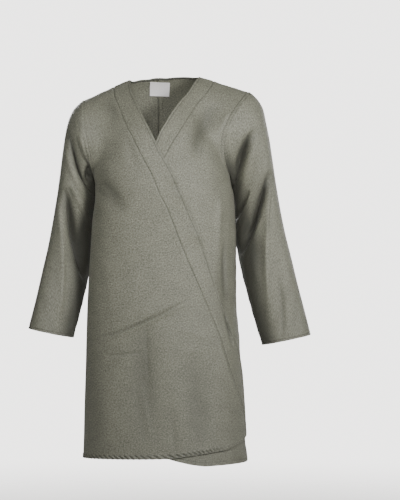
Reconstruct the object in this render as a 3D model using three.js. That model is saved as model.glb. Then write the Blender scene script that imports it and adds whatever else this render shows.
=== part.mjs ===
// A knee-length wool wrap coat, hollow as it hangs on a wearer who isn't there: two back halves,
// a right front that laps over the left one, a stitched-on band down each front edge, two set-in
// sleeves, a bound back neck and a blank neck label. Millimetres, +Z up, the front towards -Y,
// the wearer's left towards +X, and the origin midway between the shoulders.
import * as THREE from 'three';

// Cloth, seams and layers
const CLOTH = 2; // wall of the wool cloth
const BAND_CLOTH = 2.6; // wall of a front band, which is cloth and facing
const BAND_RAISE = 0.4; // how far a band stands above the panel it is sewn to
const TURNED_CLOTH = 0.9; // turned-in cloth on the inside of a hem or beside the centre back seam
const HEM_WIDTH = 11;
const ALLOWANCE_WIDTH = 12;
const STEP_WIDTH = 1.5; // from the plain wall to the thick one
const SEAM_GAP = 0.3; // between two pieces that are sewn together
const OVERLAP_RISE = 5.2; // the right front's outer face over the left front's
const TRIM_GAP = 0.4; // from the back's inside to a trim that lies on it
const BINDING_WIDTH = 6;
const BINDING_CLOTH = 1.4;
const LABEL_WIDTH = 55;
const LABEL_HEIGHT = 37;
const LABEL_CLOTH = 0.9;
const LABEL_MIDDLE_X = -12;
const LABEL_TOP_Z = 28.5;

// The figure that the coat is cut for. A level of -1 is below the hem, 0 the armpit, 1 the shoulder seam.
// A turn of 0 is the centre front, -1 and 1 the right and left side, and 2 the centre back.
const ARMPIT_Z = -230;
const SKIRT_DROP = 790;
const PEAK_Z = 57; // where the two shoulder lines would meet
const SHOULDER_Y = 12;
const SIDE_Y = 8; // side seams and the middle of the armholes
const CENTRE_BACK_X = -16;
const SQUARENESS = 2.3; // exponent of the body's rounded section
const CHEST_ROUNDNESS = 1.6;
const UPPER_BACK_ROUNDNESS = 0.78;
const RIDGE_SOFTNESS = 0.15;
const ARMHOLE_SWEEP = 1.6; // how level the rows leave the armhole before they climb to the chest
const ARMHOLE_CUT = 0.36; // share of the section's rounding that the armhole cuts away
const ARMHOLE_CUT_LEVEL = 0.6; // from the armpit up to here that share grows
const BACK_SWING_LEVEL = 0.78; // from here up the back's middle line swings in to the shoulders' middle
const MITRE_FROM = -0.2; // cosine between two walls' normals below which their edges aren't mitred
const MITRE_WHOLE = 0.4; // and above which they are mitred in full
const MITRE_LEAST = 0.2; // keeps a sharp mitre short
const OVERLAP_SIDE_TURN = -0.78; // from the side seam to here the right front rises off the body
const OVERLAP_SETTLES = 0.3; // from this level up it settles again
const OVERLAP_SETTLED = 0.85;
const BAND_RAISE_FROM = -0.1; // the underlapping band stands up between these levels
const BAND_RAISE_TO = 0.2;
const UNDERARM_EASE = 0.8; // more room between the sleeve and the body at the armpit
const BINDING_INSET = 0.5; // from the neck edge to the binding's upper edge

// Half widths and depths of the body, by height
const TORSO = [
  { z: -1020, right: -217.5, left: 228, front: -142, back: 138 },
  { z: -994, right: -216.5, left: 226.5, front: -141, back: 137 },
  { z: -945, right: -214.5, left: 220.5, front: -139.5, back: 136 },
  { z: -837, right: -212, left: 214, front: -136, back: 133 },
  { z: -770, right: -210, left: 209.5, front: -134, back: 130 },
  { z: -675, right: -207.5, left: 205, front: -131, back: 127 },
  { z: -567, right: -204, left: 196.5, front: -127, back: 120 },
  { z: -432, right: -196, left: 196, front: -124, back: 110 },
  { z: -356, right: -191, left: 194, front: -126, back: 110 },
  { z: -283, right: -182.5, left: 189, front: -129, back: 114 },
  { z: -254, right: -183.5, left: 182, front: -128, back: 117 },
  { z: -230, right: -189, left: 178, front: -126, back: 118 },
];

// Sleeve rings from the armhole to the cuff: the outer end (out) and the underarm end (in) of each ring
// seen from the front, its middle in depth, its depth to the front and back, how far its underarm end leans
// back behind the body's side, and its bow to one side
const RING_COLUMNS = [
  'outX', 'outZ', 'inX', 'inZ', 'midY', 'front', 'back', 'lean', 'bowFront', 'bowBack',
];
const RIGHT_SLEEVE = named(RING_COLUMNS, [
  [-221, -31, -189, -230, 8, 72, 76, 0, -8, 26],
  [-241, -50, -190.5, -240, 8, 71, 76, 12, -5, 16],
  [-256, -80, -187, -253, 8, 70, 75, 26, 0, 8],
  [-265, -115, -184.5, -268, 9, 69, 74, 38, 0, 3],
  [-272, -160, -182, -288, 10, 68, 72, 46, 0, 0],
  [-279, -215, -182.5, -314, 12, 66, 70, 50, 0, 0],
  [-288, -280, -186.5, -352, 14, 63, 67, 50, 0, 0],
  [-299, -348, -190, -402, 14, 60, 64, 50, 0, 0],
  [-312, -418, -196.5, -458, 11, 57, 60, 44, 0, 0],
  [-328, -490, -208.5, -522, 5, 53, 56, 34, 0, 0],
  [-345, -567, -224, -592, -3, 49, 51, 18, 0, 0],
  [-364, -643, -243, -668, -12, 45, 46, 8, 0, 0],
]);
const LEFT_SLEEVE = named(RING_COLUMNS, [
  [236, -8, 178, -230, 8, 70, 76, 0, -38, -28],
  [254, -25, 183, -240, 8, 70, 76, 12, -30, -18],
  [269.5, -52, 184, -252, 8, 70, 75, 26, -19, -10],
  [278, -90, 185, -266, 9, 69, 74, 38, -9, -4],
  [287, -135, 187.5, -286, 10, 68, 73, 46, -3, 0],
  [296, -195, 188, -312, 12, 66, 71, 50, 0, 0],
  [305, -255, 189, -345, 14, 64, 68, 50, 0, 0],
  [316, -320, 191, -385, 15, 61, 65, 50, 0, 0],
  [329, -385, 200, -432, 13, 58, 62, 44, 0, 0],
  [345, -450, 210, -485, 8, 55, 58, 34, 0, 0],
  [364, -530, 226, -548, 0, 52, 53, 22, 0, 0],
  [382, -600, 245, -618, -7, 49, 49, 14, 0, 0],
  [397, -660, 266, -688, -13, 46, 46, 8, 0, 0],
]);

// Lines on the fronts seen from the front, top to bottom. One that goes round the side gives its turn.
const RIGHT_EDGE = [
  { x: -93, level: 1 }, { x: -85.5, z: -5 }, { x: -73, z: -33 }, { x: -47, z: -88 }, { x: -19, z: -142 },
  { x: 6.5, z: -195 }, { x: 31.5, z: -242 }, { x: 56, z: -300 }, { x: 82, z: -358 }, { x: 99, z: -405 },
  { x: 118.5, z: -458 }, { x: 132.5, z: -511 }, { x: 150.5, z: -565 }, { x: 169.5, z: -618 },
  { x: 189, z: -673 }, { turn: 0.84, z: -715 }, { turn: 0.94, z: -770 }, { turn: 1.06, z: -837 },
  { turn: 1.16, z: -885 },
];
const RIGHT_BAND_SEAM = [
  { x: -134, level: 1 }, { x: -132.5, z: -12 }, { x: -125, z: -33 }, { x: -103, z: -88 },
  { x: -75.5, z: -142 }, { x: -49, z: -195 }, { x: -23, z: -248 }, { x: 0, z: -300 },
  { x: 24.5, z: -353 }, { x: 43, z: -405 }, { x: 64, z: -458 }, { x: 87, z: -511 },
  { x: 110, z: -564 }, { x: 133, z: -618 }, { x: 152.5, z: -671 },
  { x: 169, z: -725 }, { x: 184, z: -780 }, { turn: 0.8, z: -837 }, { turn: 0.92, z: -900 },
];
const LEFT_EDGE = [
  { x: 97, level: 1 }, { x: 70.5, z: -5 }, { x: 46.5, z: -33 }, { x: 27, z: -61 }, { x: 8.5, z: -88 },
  { x: -6, z: -115 }, { x: -17, z: -142 }, { x: -29, z: -169 }, { x: -40, z: -195 }, { x: -58, z: -242 },
  { x: -78, z: -300 }, { x: -115, z: -405 }, { x: -143, z: -511 }, { x: -166, z: -618 },
  { turn: -0.66, z: -720 }, { turn: -0.74, z: -880 },
];
const LEFT_BAND_SEAM = [
  { x: 133.5, level: 1 }, { x: 120, z: -5 }, { x: 97, z: -33 }, { x: 78.5, z: -61 }, { x: 62.5, z: -88 },
  { x: 45.5, z: -115 }, { x: 28, z: -142 }, { x: 12, z: -169 }, { x: -3, z: -195 }, { x: -14, z: -242 },
  { x: -28, z: -300 }, { x: -62, z: -405 }, { x: -96, z: -511 }, { x: -122, z: -618 },
  { turn: -0.46, z: -720 }, { turn: -0.54, z: -880 },
];
const BACK_NECK = [
  { x: 97, level: 1 }, { x: 86, z: 36.5 }, { x: 64, z: 39 }, { x: 35, z: 39.5 }, { x: 0, z: 38 },
  { x: -35, z: 36 }, { x: -66, z: 32 }, { x: -84, z: 27.5 }, { x: -93, level: 1 },
];

// Hems by turn
const RIGHT_HEM = [
  { turn: -1, z: -990 }, { turn: -0.4, z: -984 }, { turn: 0, z: -981 }, { turn: 0.19, z: -973 },
  { turn: 0.39, z: -965 }, { turn: 0.51, z: -961 }, { turn: 0.62, z: -952 }, { turn: 0.76, z: -942 },
  { turn: 0.88, z: -933 }, { turn: 1, z: -922 }, { turn: 1.1, z: -906 }, { turn: 1.2, z: -882 },
];
const LEFT_HEM = [
  { turn: -0.76, z: -880 }, { turn: -0.6, z: -922 }, { turn: -0.4, z: -950 }, { turn: -0.2, z: -966 },
  { turn: 0, z: -979 }, { turn: 0.1, z: -990 }, { turn: 0.2, z: -998 }, { turn: 0.3, z: -1002 },
  { turn: 0.45, z: -1001 }, { turn: 0.7, z: -1000 }, { turn: 1, z: -1000 },
];
const BACK_HEM = [
  { turn: 1, z: -1000 }, { turn: 1.5, z: -1001 }, { turn: 2, z: -998 }, { turn: 2.5, z: -994 },
  { turn: 3, z: -990 },
];

// Largest folds, seen from the front: a ridge where height is above zero and a trough where it is below.
// bow is how far the middle of the fold leaves the straight line between its ends.
const FRONT_FOLDS = [
  { fromX: 140, fromZ: -38, toX: 84, toZ: -190, bow: 8, width: 20, height: -8 },
  { fromX: 176, fromZ: -60, toX: 122, toZ: -200, bow: 6, width: 18, height: 5 },
  { fromX: 172, fromZ: -400, toX: 168, toZ: -650, bow: 4, width: 18, height: -5 },
  { fromX: -170, fromZ: -222, toX: -96, toZ: -330, bow: 6, width: 18, height: -6 },
  { fromX: -163, fromZ: -24, toX: -124, toZ: -86, bow: 0, width: 15, height: -4 },
  { fromX: -48, fromZ: -600, toX: -40, toZ: -940, bow: 6, width: 34, height: -6 },
  { fromX: 74, fromZ: -700, toX: 96, toZ: -960, bow: -6, width: 30, height: -5 },
  { fromX: -150, fromZ: -740, toX: -142, toZ: -970, bow: 4, width: 28, height: 4 },
];
const BACK_FOLDS = [
  { fromX: -150, fromZ: -210, toX: -90, toZ: -350, bow: 8, width: 16, height: -5 },
  { fromX: 142, fromZ: -214, toX: 78, toZ: -340, bow: -8, width: 16, height: -5 },
  { fromX: -92, fromZ: -430, toX: -112, toZ: -980, bow: 6, width: 26, height: -6 },
  { fromX: 66, fromZ: -470, toX: 92, toZ: -980, bow: -8, width: 28, height: -6 },
  { fromX: -30, fromZ: -560, toX: -38, toZ: -985, bow: 6, width: 26, height: 4 },
  { fromX: 140, fromZ: -520, toX: 150, toZ: -980, bow: 0, width: 24, height: 4 },
];
const RIGHT_SLEEVE_FOLDS = [
  { fromX: -258, fromZ: -128, toX: -196, toZ: -292, bow: -13, width: 12, height: -13 },
  { fromX: -246, fromZ: -112, toX: -194, toZ: -238, bow: -8, width: 12, height: 5 },
  { fromX: -284, fromZ: -262, toX: -222, toZ: -500, bow: -6, width: 20, height: -15 },
  { fromX: -286, fromZ: -262, toX: -300, toZ: -560, bow: 4, width: 18, height: 7 },
];
const LEFT_SLEEVE_FOLDS = [
  { fromX: 246, fromZ: -104, toX: 194, toZ: -266, bow: 4, width: 13, height: -14 },
  { fromX: 262, fromZ: -136, toX: 204, toZ: -290, bow: 4, width: 12, height: 7 },
  { fromX: 296, fromZ: -214, toX: 206, toZ: -372, bow: 8, width: 16, height: -15 },
  { fromX: 296, fromZ: -260, toX: 292, toZ: -640, bow: -8, width: 16, height: 8 },
];
const RIGHT_SLEEVE_BACK_FOLDS = [
  { fromX: -252, fromZ: -150, toX: -198, toZ: -300, bow: -6, width: 14, height: -11 },
  { fromX: -292, fromZ: -300, toX: -222, toZ: -430, bow: -8, width: 15, height: -10 },
];
const LEFT_SLEEVE_BACK_FOLDS = [
  { fromX: 262, fromZ: -140, toX: 204, toZ: -300, bow: 6, width: 14, height: -11 },
  { fromX: 306, fromZ: -310, toX: 226, toZ: -430, bow: 8, width: 15, height: -10 },
];

// Folds die out towards seams and edges
const FOLD_END = 0.8; // exponent of a fold's swell along its length
const SIDE_FADE_FROM = 0.02; // turns from the side seam
const SIDE_FADE_TO = 0.14;
const TOP_FADE = 0.12; // levels below the top
const ARMHOLE_FADE = 0.05; // share of a sleeve's length
const OUTLINE_FADE = 0.7; // exponent of the fade towards a sleeve's outer and under sides

// Places where the lapped edge lifts off the front below it
const EDGE_LIFTS = [
  { z: -246, halfLength: 16, height: 5 },
  { z: -292, halfLength: 18, height: 3 },
  { z: -396, halfLength: 24, height: 6 },
  { z: -630, halfLength: 30, height: 2.5 },
];

// Colours
const WOOL = 0x86887a;
const BINDING = 0x5c5e52;
const LABEL = 0xe6e4de;

// Grid counts
const SKIRT_ROWS = 17;
const YOKE_ROWS = 11;
const RIGHT_FRONT_COLUMNS = 17;
const LEFT_FRONT_COLUMNS = 13;
const BAND_COLUMNS = 3;
const SHOULDER_COLUMNS = 5;
const NECK_COLUMNS = 6; // closer together near the neck point
const SLEEVE_RINGS = 24;
const HEM_START_LEVEL = -0.95; // first guess of a hem's level, from which its own is found
const NEAR_CUFF = 0.9; // place along a sleeve that measures its last stretch
const NECK_LEVEL = 0.7; // level near the back neck, where its columns' turns are read
const RING_SPREAD = 1.1; // exponent that sets the rings closer together near the armhole
const NECK_SPREAD = 1.6; // and the neck's columns near the neck point
const LABEL_COLUMNS = 4;
const LABEL_ROWS = 3;

const lerp = THREE.MathUtils.lerp;
const smoothstep = THREE.MathUtils.smoothstep;

// Rows of numbers as objects whose keys are the columns' names
function named(columns, rows) {
  return rows.map((row) => Object.fromEntries(columns.map((column, i) => [column, row[i]])));
}

// A smooth curve through a table's rows that never overshoots them
function curve(rows, key, column) {
  const sorted = [...rows].sort((a, b) => a[key] - b[key]);
  const at = sorted.map((row) => row[key]);
  const value = sorted.map((row) => row[column]);
  const last = at.length - 1;
  const rise = at.slice(1).map((_, i) => (value[i + 1] - value[i]) / (at[i + 1] - at[i]));
  const slope = value.map((_, i) => {
    if (i === 0) return rise[0];
    if (i === last) return rise[last - 1];
    return rise[i - 1] * rise[i] <= 0 ? 0 : (2 * rise[i - 1] * rise[i]) / (rise[i - 1] + rise[i]);
  });
  return (place) => {
    const p = Math.min(Math.max(place, at[0]), at[last]);
    let i = 0;
    while (i < last - 1 && p > at[i + 1]) i += 1;
    const step = at[i + 1] - at[i];
    const t = (p - at[i]) / step;
    const from = (1 + 2 * t) * (1 - t) ** 2 * value[i] + t * (1 - t) ** 2 * step * slope[i];
    const to = t * t * (3 - 2 * t) * value[i + 1] - t * t * (1 - t) * step * slope[i + 1];
    return from + to;
  };
}

// The place between low and high where a rising or falling function is zero
function solve(f, low, high) {
  const rising = f(high) > f(low);
  let [a, b] = [low, high];
  for (let pass = 0; pass < 40; pass += 1) {
    const middle = (a + b) / 2;
    if (f(middle) > 0 === rising) b = middle;
    else a = middle;
  }
  return (a + b) / 2;
}

const torso = {
  right: curve(TORSO, 'z', 'right'),
  left: curve(TORSO, 'z', 'left'),
  front: curve(TORSO, 'z', 'front'),
  back: curve(TORSO, 'z', 'back'),
};

// A point of a sleeve ring: angle 0 is its outer end, a quarter turn its front, a half turn its underarm
function ringPoint(row, angle) {
  const along = Math.cos(angle);
  const across = Math.sin(angle);
  const isFront = across >= 0;
  const bow = (isFront ? row.bowFront : row.bowBack) * across ** 2;
  const depth = isFront ? -row.front : row.back;
  return new THREE.Vector3(
    (row.outX + row.inX) / 2 + ((row.outX - row.inX) / 2) * along + bow,
    row.midY + (row.lean * (1 - along)) / 2 + depth * Math.abs(across),
    (row.outZ + row.inZ) / 2 + ((row.outZ - row.inZ) / 2) * along,
  );
}

// The place round the armhole that a level of the body meets. It starts slowly, for a smooth armpit.
function armholeAngle(level) {
  return Math.PI * (1 - level * level * (2 - level));
}

// Shares of the half width and of the depth at a share of the way from the centre to the side
function section(share, level) {
  const sideAngle = (Math.PI / 2) * (1 - ARMHOLE_CUT * smoothstep(level, 0, ARMHOLE_CUT_LEVEL));
  const power = 2 / SQUARENESS;
  const atSide = Math.max(0, Math.cos(sideAngle)) ** power;
  return {
    sideways: (Math.sin(share * sideAngle) / Math.sin(sideAngle)) ** power,
    facing: (Math.max(0, Math.cos(share * sideAngle)) ** power - atSide) / (1 - atSide),
  };
}

// A point of the body that the coat is cut round. face says which side of the armhole a piece lies on.
function bodyPoint(anyTurn, level, face) {
  const turn = anyTurn > 2 ? anyTurn - 4 : anyTurn;
  const isFront = Math.abs(turn) <= 1;
  const { sideways, facing } = section(isFront ? Math.abs(turn) : 2 - Math.abs(turn), level);
  const depth = isFront ? torso.front : torso.back;
  const middleX = isFront ? 0 : CENTRE_BACK_X * (1 - smoothstep(level, BACK_SWING_LEVEL, 1));
  if (level <= 0) {
    const z = ARMPIT_Z + level * SKIRT_DROP;
    const sideX = turn < 0 ? torso.right(z) : torso.left(z);
    return new THREE.Vector3(lerp(middleX, sideX, sideways), lerp(SIDE_Y, depth(z), facing), z);
  }
  const armhole = turn < 0 ? RIGHT_SLEEVE[0] : LEFT_SLEEVE[0];
  const edge = ringPoint(armhole, (face === 'front' ? 1 : -1) * armholeAngle(level));
  const climb = (level * Math.PI) / 2;
  const roundness = isFront ? CHEST_ROUNDNESS : UPPER_BACK_ROUNDNESS;
  const middleY = SHOULDER_Y + (depth(ARMPIT_Z) - SHOULDER_Y) * Math.max(0, Math.cos(climb)) ** roundness;
  const middleZ = ARMPIT_Z + (PEAK_Z - ARMPIT_Z) * Math.sin(climb);
  const soft = (share) => Math.hypot(share, RIDGE_SOFTNESS) - RIDGE_SOFTNESS;
  const rise = lerp(Math.max(0, facing) ** ARMHOLE_SWEEP, 1 - soft(sideways) / soft(1), level * level);
  return new THREE.Vector3(
    lerp(middleX, edge.x, sideways),
    lerp(edge.y, middleY, facing),
    lerp(edge.z, middleZ, rise),
  );
}

// Outward normal of the body
function bodyNormal(turn, level, face) {
  const step = 0.002;
  const [low, high] = face === 'front' ? [-1, 1] : turn < 0 ? [-3, -1] : [1, 3];
  const within = (t) => (level > 0 ? Math.min(Math.max(t, low), high) : t);
  const topLevel = Math.min(level + step, 1);
  const ahead = bodyPoint(within(turn + step), level, face);
  const across = ahead.sub(bodyPoint(within(turn - step), level, face));
  const up = bodyPoint(turn, topLevel, face).sub(bodyPoint(turn, topLevel - 2 * step, face));
  return across.cross(up).normalize();
}

// The turn and level of the body's point that shows at x and z from the front or the back
function locate(x, z, face) {
  const [low, high] = face === 'front' ? [-1, 1] : [1, 3];
  let turn = (low + high) / 2;
  let level = 0;
  for (let pass = 0; pass < 14; pass += 1) {
    turn = solve((t) => bodyPoint(t, level, face).x - x, low, high);
    level = solve((l) => bodyPoint(turn, l, face).z - z, -1, 1);
  }
  return { turn, level };
}

// A line on the body as a function of its key, either the turn at a level or the level at a turn
function bodyLine(rows, face, key, column) {
  const [low, high] = face === 'front' ? [-1, 1] : [1, 3];
  const placed = rows.map((row) => {
    if (row.turn !== undefined) return { turn: row.turn, level: (row.z - ARMPIT_Z) / SKIRT_DROP };
    if (row.z !== undefined) return locate(row.x, row.z, face);
    const turn = solve((t) => bodyPoint(t, row.level, face).x - row.x, low, high);
    return { turn, level: row.level };
  });
  return curve(placed, key, column);
}

const rightEdge = bodyLine(RIGHT_EDGE, 'front', 'level', 'turn');
const rightBandSeam = bodyLine(RIGHT_BAND_SEAM, 'front', 'level', 'turn');
const leftEdge = bodyLine(LEFT_EDGE, 'front', 'level', 'turn');
const leftBandSeam = bodyLine(LEFT_BAND_SEAM, 'front', 'level', 'turn');
const backNeck = bodyLine(BACK_NECK, 'back', 'turn', 'level');
const leftNeckTurn = solve((t) => bodyPoint(t, 1, 'back').x - BACK_NECK[0].x, 1, 2);
const rightNeckTurn = solve((t) => bodyPoint(t, 1, 'back').x - BACK_NECK.at(-1).x, 2, 3);

// Height of all folds of a list at one place seen from the front
function foldHeight(folds, x, z) {
  let height = 0;
  for (const fold of folds) {
    const alongX = fold.toX - fold.fromX;
    const alongZ = fold.toZ - fold.fromZ;
    const length = Math.hypot(alongX, alongZ);
    const share = ((x - fold.fromX) * alongX + (z - fold.fromZ) * alongZ) / length ** 2;
    if (share > 0 && share < 1) {
      const aside = ((x - fold.fromX) * alongZ - (z - fold.fromZ) * alongX) / length;
      const off = aside - fold.bow * 4 * share * (1 - share);
      const swell = Math.sin(Math.PI * share) ** FOLD_END;
      height += fold.height * swell * Math.exp(-((off / fold.width) ** 2));
    }
  }
  return height;
}

// Where two walls meet at an armhole both end on the bisector of their normals, except in the sharp armpit
function mitre(own, other) {
  const cosine = own.dot(other);
  const half = Math.sqrt(Math.max(MITRE_LEAST, (1 + cosine) / 2));
  const shared = own.clone().add(other).normalize().divideScalar(half);
  return own.clone().lerp(shared, smoothstep(cosine, MITRE_FROM, MITRE_WHOLE));
}

// A closed wall of cloth from a grid of outer points and the offsets to its inner points.
// round joins the first column to the last one, as on a sleeve.
function wall(name, colour, { outer, inward }, { round = false, flip = false } = {}) {
  const columns = outer.length;
  const rows = outer[0].length;
  const points = [];
  for (const shift of [0, 1]) {
    for (let i = 0; i < columns; i += 1) {
      outer[i].forEach((point, j) => points.push(point.clone().addScaledVector(inward[i][j], shift)));
    }
  }
  const out = (i, j) => (i % columns) * rows + j;
  const inn = (i, j) => columns * rows + out(i, j);
  const quads = [];
  const steps = round ? columns : columns - 1;
  for (let i = 0; i < steps; i += 1) {
    for (let j = 0; j < rows - 1; j += 1) {
      const corners = [[i, j], [i + 1, j], [i + 1, j + 1], [i, j + 1]];
      const [a, b, c, d] = corners.map((corner) => points[out(...corner)]);
      if (b.distanceTo(d) < a.distanceTo(c)) corners.push(corners.shift());
      quads.push(corners.map((corner) => out(...corner)));
      const [e, f, g, h] = corners.map((corner) => inn(...corner));
      quads.push([e, h, g, f]);
    }
    quads.push([inn(i, 0), inn(i + 1, 0), out(i + 1, 0), out(i, 0)]);
    quads.push([out(i, rows - 1), out(i + 1, rows - 1), inn(i + 1, rows - 1), inn(i, rows - 1)]);
  }
  for (let j = 0; j < rows - 1 && !round; j += 1) {
    quads.push([out(0, j), out(0, j + 1), inn(0, j + 1), inn(0, j)]);
    quads.push([inn(columns - 1, j + 1), out(columns - 1, j + 1), out(columns - 1, j), inn(columns - 1, j)]);
  }
  const index = [];
  for (const [a, b, c, d] of quads) index.push(...(flip ? [c, b, a, d, c, a] : [a, b, c, a, c, d]));
  const geometry = new THREE.BufferGeometry().setFromPoints(points).setIndex(index);
  geometry.computeVertexNormals();
  const material = new THREE.MeshStandardMaterial({ color: colour, roughness: 0.95, metalness: 0 });
  const mesh = new THREE.Mesh(geometry, material);
  mesh.name = name;
  return mesh;
}

// Draws the border of a grid back from a seam, half a gap
function drawBack(outer, side) {
  const columns = outer.length;
  const rows = outer[0].length;
  let border = outer.map((column) => column[rows - 1]);
  let next = outer.map((column) => column[rows - 2]);
  if (side === 'first') [border, next] = [outer[0], outer[1]];
  if (side === 'last') [border, next] = [outer[columns - 1], outer[columns - 2]];
  const moves = border.map((point, k) => {
    const before = border[Math.max(k - 1, 0)];
    const along = border[Math.min(k + 1, border.length - 1)].clone().sub(before).normalize();
    const away = next[k].clone().sub(point);
    return away.addScaledVector(along, -away.dot(along)).setLength(SEAM_GAP / 2);
  });
  border.forEach((point, k) => point.add(moves[k]));
}

// Levels of a column's points from its hem to its top, with two close rows above the hem
function columnLevels(hemLevel, topLevel) {
  const hemTop = hemLevel + HEM_WIDTH / SKIRT_DROP;
  const plain = hemTop + STEP_WIDTH / SKIRT_DROP;
  const levels = [hemLevel, hemTop, plain];
  for (let j = 1; j <= SKIRT_ROWS; j += 1) levels.push(lerp(plain, 0, j / SKIRT_ROWS));
  for (let j = 1; j <= YOKE_ROWS; j += 1) levels.push((topLevel * j) / YOKE_ROWS);
  return levels;
}

// The grid of a body panel. Its columns run between two lines of turns, and each rises from the hem.
// turnAt gives a column's turn at a level, layer its height off the body and thick its extra wall.
function panelGrid({ face, columns, turnAt, hem, topAt, layer, cloth, folds, thick, seams }) {
  const outer = [];
  const inward = [];
  for (let i = 0; i <= columns; i += 1) {
    let hemLevel = HEM_START_LEVEL;
    for (let pass = 0; pass < 6; pass += 1) {
      hemLevel = (hem(turnAt(i / columns, hemLevel)) - ARMPIT_Z) / SKIRT_DROP;
    }
    const topLevel = topAt(i / columns);
    const points = [];
    const offsets = [];
    columnLevels(hemLevel, topLevel).forEach((level, j) => {
      const turn = turnAt(i / columns, level);
      const normal = bodyNormal(turn, level, face);
      const point = bodyPoint(turn, level, face);
      const fromSide = Math.abs(Math.abs(turn > 2 ? turn - 4 : turn) - 1);
      const sideFade = smoothstep(fromSide, SIDE_FADE_FROM, SIDE_FADE_TO);
      const taper = sideFade * smoothstep(topLevel - level, 0, TOP_FADE);
      const rise = layer(turn, level, i / columns) + taper * foldHeight(folds, point.x, point.z);
      points.push(point.addScaledVector(normal, rise));
      const isAtArmhole = level > 0 && fromSide < 1e-6;
      const direction = isAtArmhole ? mitre(normal, sleeveNormalAt(turn, level, face)) : normal.clone();
      const extra = j < 2 ? TURNED_CLOTH : thick(i);
      offsets.push(direction.multiplyScalar(-(cloth + extra)));
    });
    outer.push(points);
    inward.push(offsets);
  }
  for (const side of seams) drawBack(outer, side);
  return { outer, inward };
}

// Sleeve rings as a smooth function of their place along the sleeve, 0 at the armhole and 1 at the cuff
function sleeveRows(rows) {
  const numbered = rows.map((row, i) => ({ ...row, along: i / (rows.length - 1) }));
  const columns = Object.keys(rows[0]).map((column) => [column, curve(numbered, 'along', column)]);
  return (along) => Object.fromEntries(columns.map(([column, value]) => [column, value(along)]));
}
const rightSleeveRow = sleeveRows(RIGHT_SLEEVE);
const leftSleeveRow = sleeveRows(LEFT_SLEEVE);

// Outward normal of a sleeve
function sleeveNormal(rowAt, angle, along) {
  const step = 0.004;
  const middle = Math.min(Math.max(along, step), 1 - step);
  const around = ringPoint(rowAt(along), angle + step).sub(ringPoint(rowAt(along), angle - step));
  const down = ringPoint(rowAt(middle + step), angle).sub(ringPoint(rowAt(middle - step), angle));
  const sign = rowAt === leftSleeveRow ? 1 : -1;
  return around.cross(down).multiplyScalar(sign).normalize();
}

// The sleeve's normal beside a point of the body's armhole edge
function sleeveNormalAt(turn, level, face) {
  const isLeft = turn > 0 && turn < 2;
  const angle = (face === 'front' ? 1 : -1) * armholeAngle(level);
  return sleeveNormal(isLeft ? leftSleeveRow : rightSleeveRow, angle, 0);
}

function sleeve(name, rowAt, sideTurn, frontFolds, backFolds) {
  const isLeft = sideTurn > 0;
  const levels = Array.from({ length: YOKE_ROWS + 1 }, (_, j) => j / YOKE_ROWS);
  const stops = [
    ...levels.map((level) => ({ level, face: 'front', angle: armholeAngle(level) })).reverse(),
    ...levels.slice(1, -1).map((level) => ({ level, face: 'back', angle: -armholeAngle(level) })),
  ];
  const lastStretch = ringPoint(rowAt(1), 0).distanceTo(ringPoint(rowAt(NEAR_CUFF), 0));
  const cuffLength = lastStretch / (1 - NEAR_CUFF);
  const hemStart = 1 - HEM_WIDTH / cuffLength;
  const alongs = [];
  for (let k = 0; k < SLEEVE_RINGS; k += 1) alongs.push(hemStart * (k / SLEEVE_RINGS) ** RING_SPREAD);
  alongs.push(hemStart - STEP_WIDTH / cuffLength, hemStart, 1);
  const outer = [];
  const inward = [];
  for (const { level, face, angle } of stops) {
    const points = [];
    const offsets = [];
    for (const [k, along] of alongs.entries()) {
      const point = ringPoint(rowAt(along), angle);
      const own = sleeveNormal(rowAt, angle, along);
      const underarm = ((1 - Math.cos(angle)) / 2) ** 4;
      if (k === 0) point.x += (isLeft ? 1 : -1) * (SEAM_GAP + UNDERARM_EASE * underarm);
      const taper = smoothstep(along, 0, ARMHOLE_FADE) * Math.abs(Math.sin(angle)) ** OUTLINE_FADE;
      const folds = Math.sin(angle) >= 0 ? frontFolds : backFolds;
      point.addScaledVector(own, taper * foldHeight(folds, point.x, point.z));
      points.push(point);
      const direction = k === 0 && level > 0 ? mitre(own, bodyNormal(sideTurn, level, face)) : own;
      const extra = k > alongs.length - 3 ? TURNED_CLOTH : 0;
      offsets.push(direction.clone().multiplyScalar(-(CLOTH + extra)));
    }
    outer.push(points);
    inward.push(offsets);
  }
  return wall(name, WOOL, { outer, inward }, { round: true, flip: !isLeft });
}

// How far the right front stands off the body: not at all at its side and shoulder seams
function overlapRise(turn, level) {
  const settled = smoothstep(level, OVERLAP_SETTLES, OVERLAP_SETTLED);
  return OVERLAP_RISE * smoothstep(turn, -1, OVERLAP_SIDE_TURN) * (1 - settled);
}

// A lapped edge's lift, which grows from the band's seam to its free edge
function edgeLift(level, share) {
  const z = ARMPIT_Z + level * SKIRT_DROP;
  let lift = 0;
  for (const row of EDGE_LIFTS) lift += row.height * Math.exp(-(((z - row.z) / row.halfLength) ** 2));
  return lift * share * share;
}

function frontGrid(columns, turnAt, hemRows, layer, cloth, seams) {
  const hem = curve(hemRows, 'turn', 'z');
  const topAt = () => 1;
  const thick = () => 0;
  const folds = FRONT_FOLDS;
  return panelGrid({ face: 'front', columns, turnAt, hem, topAt, layer, cloth, folds, thick, seams });
}

function rightFront() {
  const turnAt = (share, level) => lerp(-1, rightBandSeam(level), share);
  const seams = ['first', 'last', 'top'];
  const grid = frontGrid(RIGHT_FRONT_COLUMNS, turnAt, RIGHT_HEM, overlapRise, CLOTH, seams);
  return wall('right_front', WOOL, grid);
}

function rightFrontBand() {
  const turnAt = (share, level) => lerp(rightBandSeam(level), rightEdge(level), share);
  const layer = (turn, level, share) => BAND_RAISE + overlapRise(turn, level) + edgeLift(level, share);
  const grid = frontGrid(BAND_COLUMNS, turnAt, RIGHT_HEM, layer, BAND_CLOTH, ['first', 'top']);
  return wall('right_front_band', WOOL, grid);
}

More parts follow.
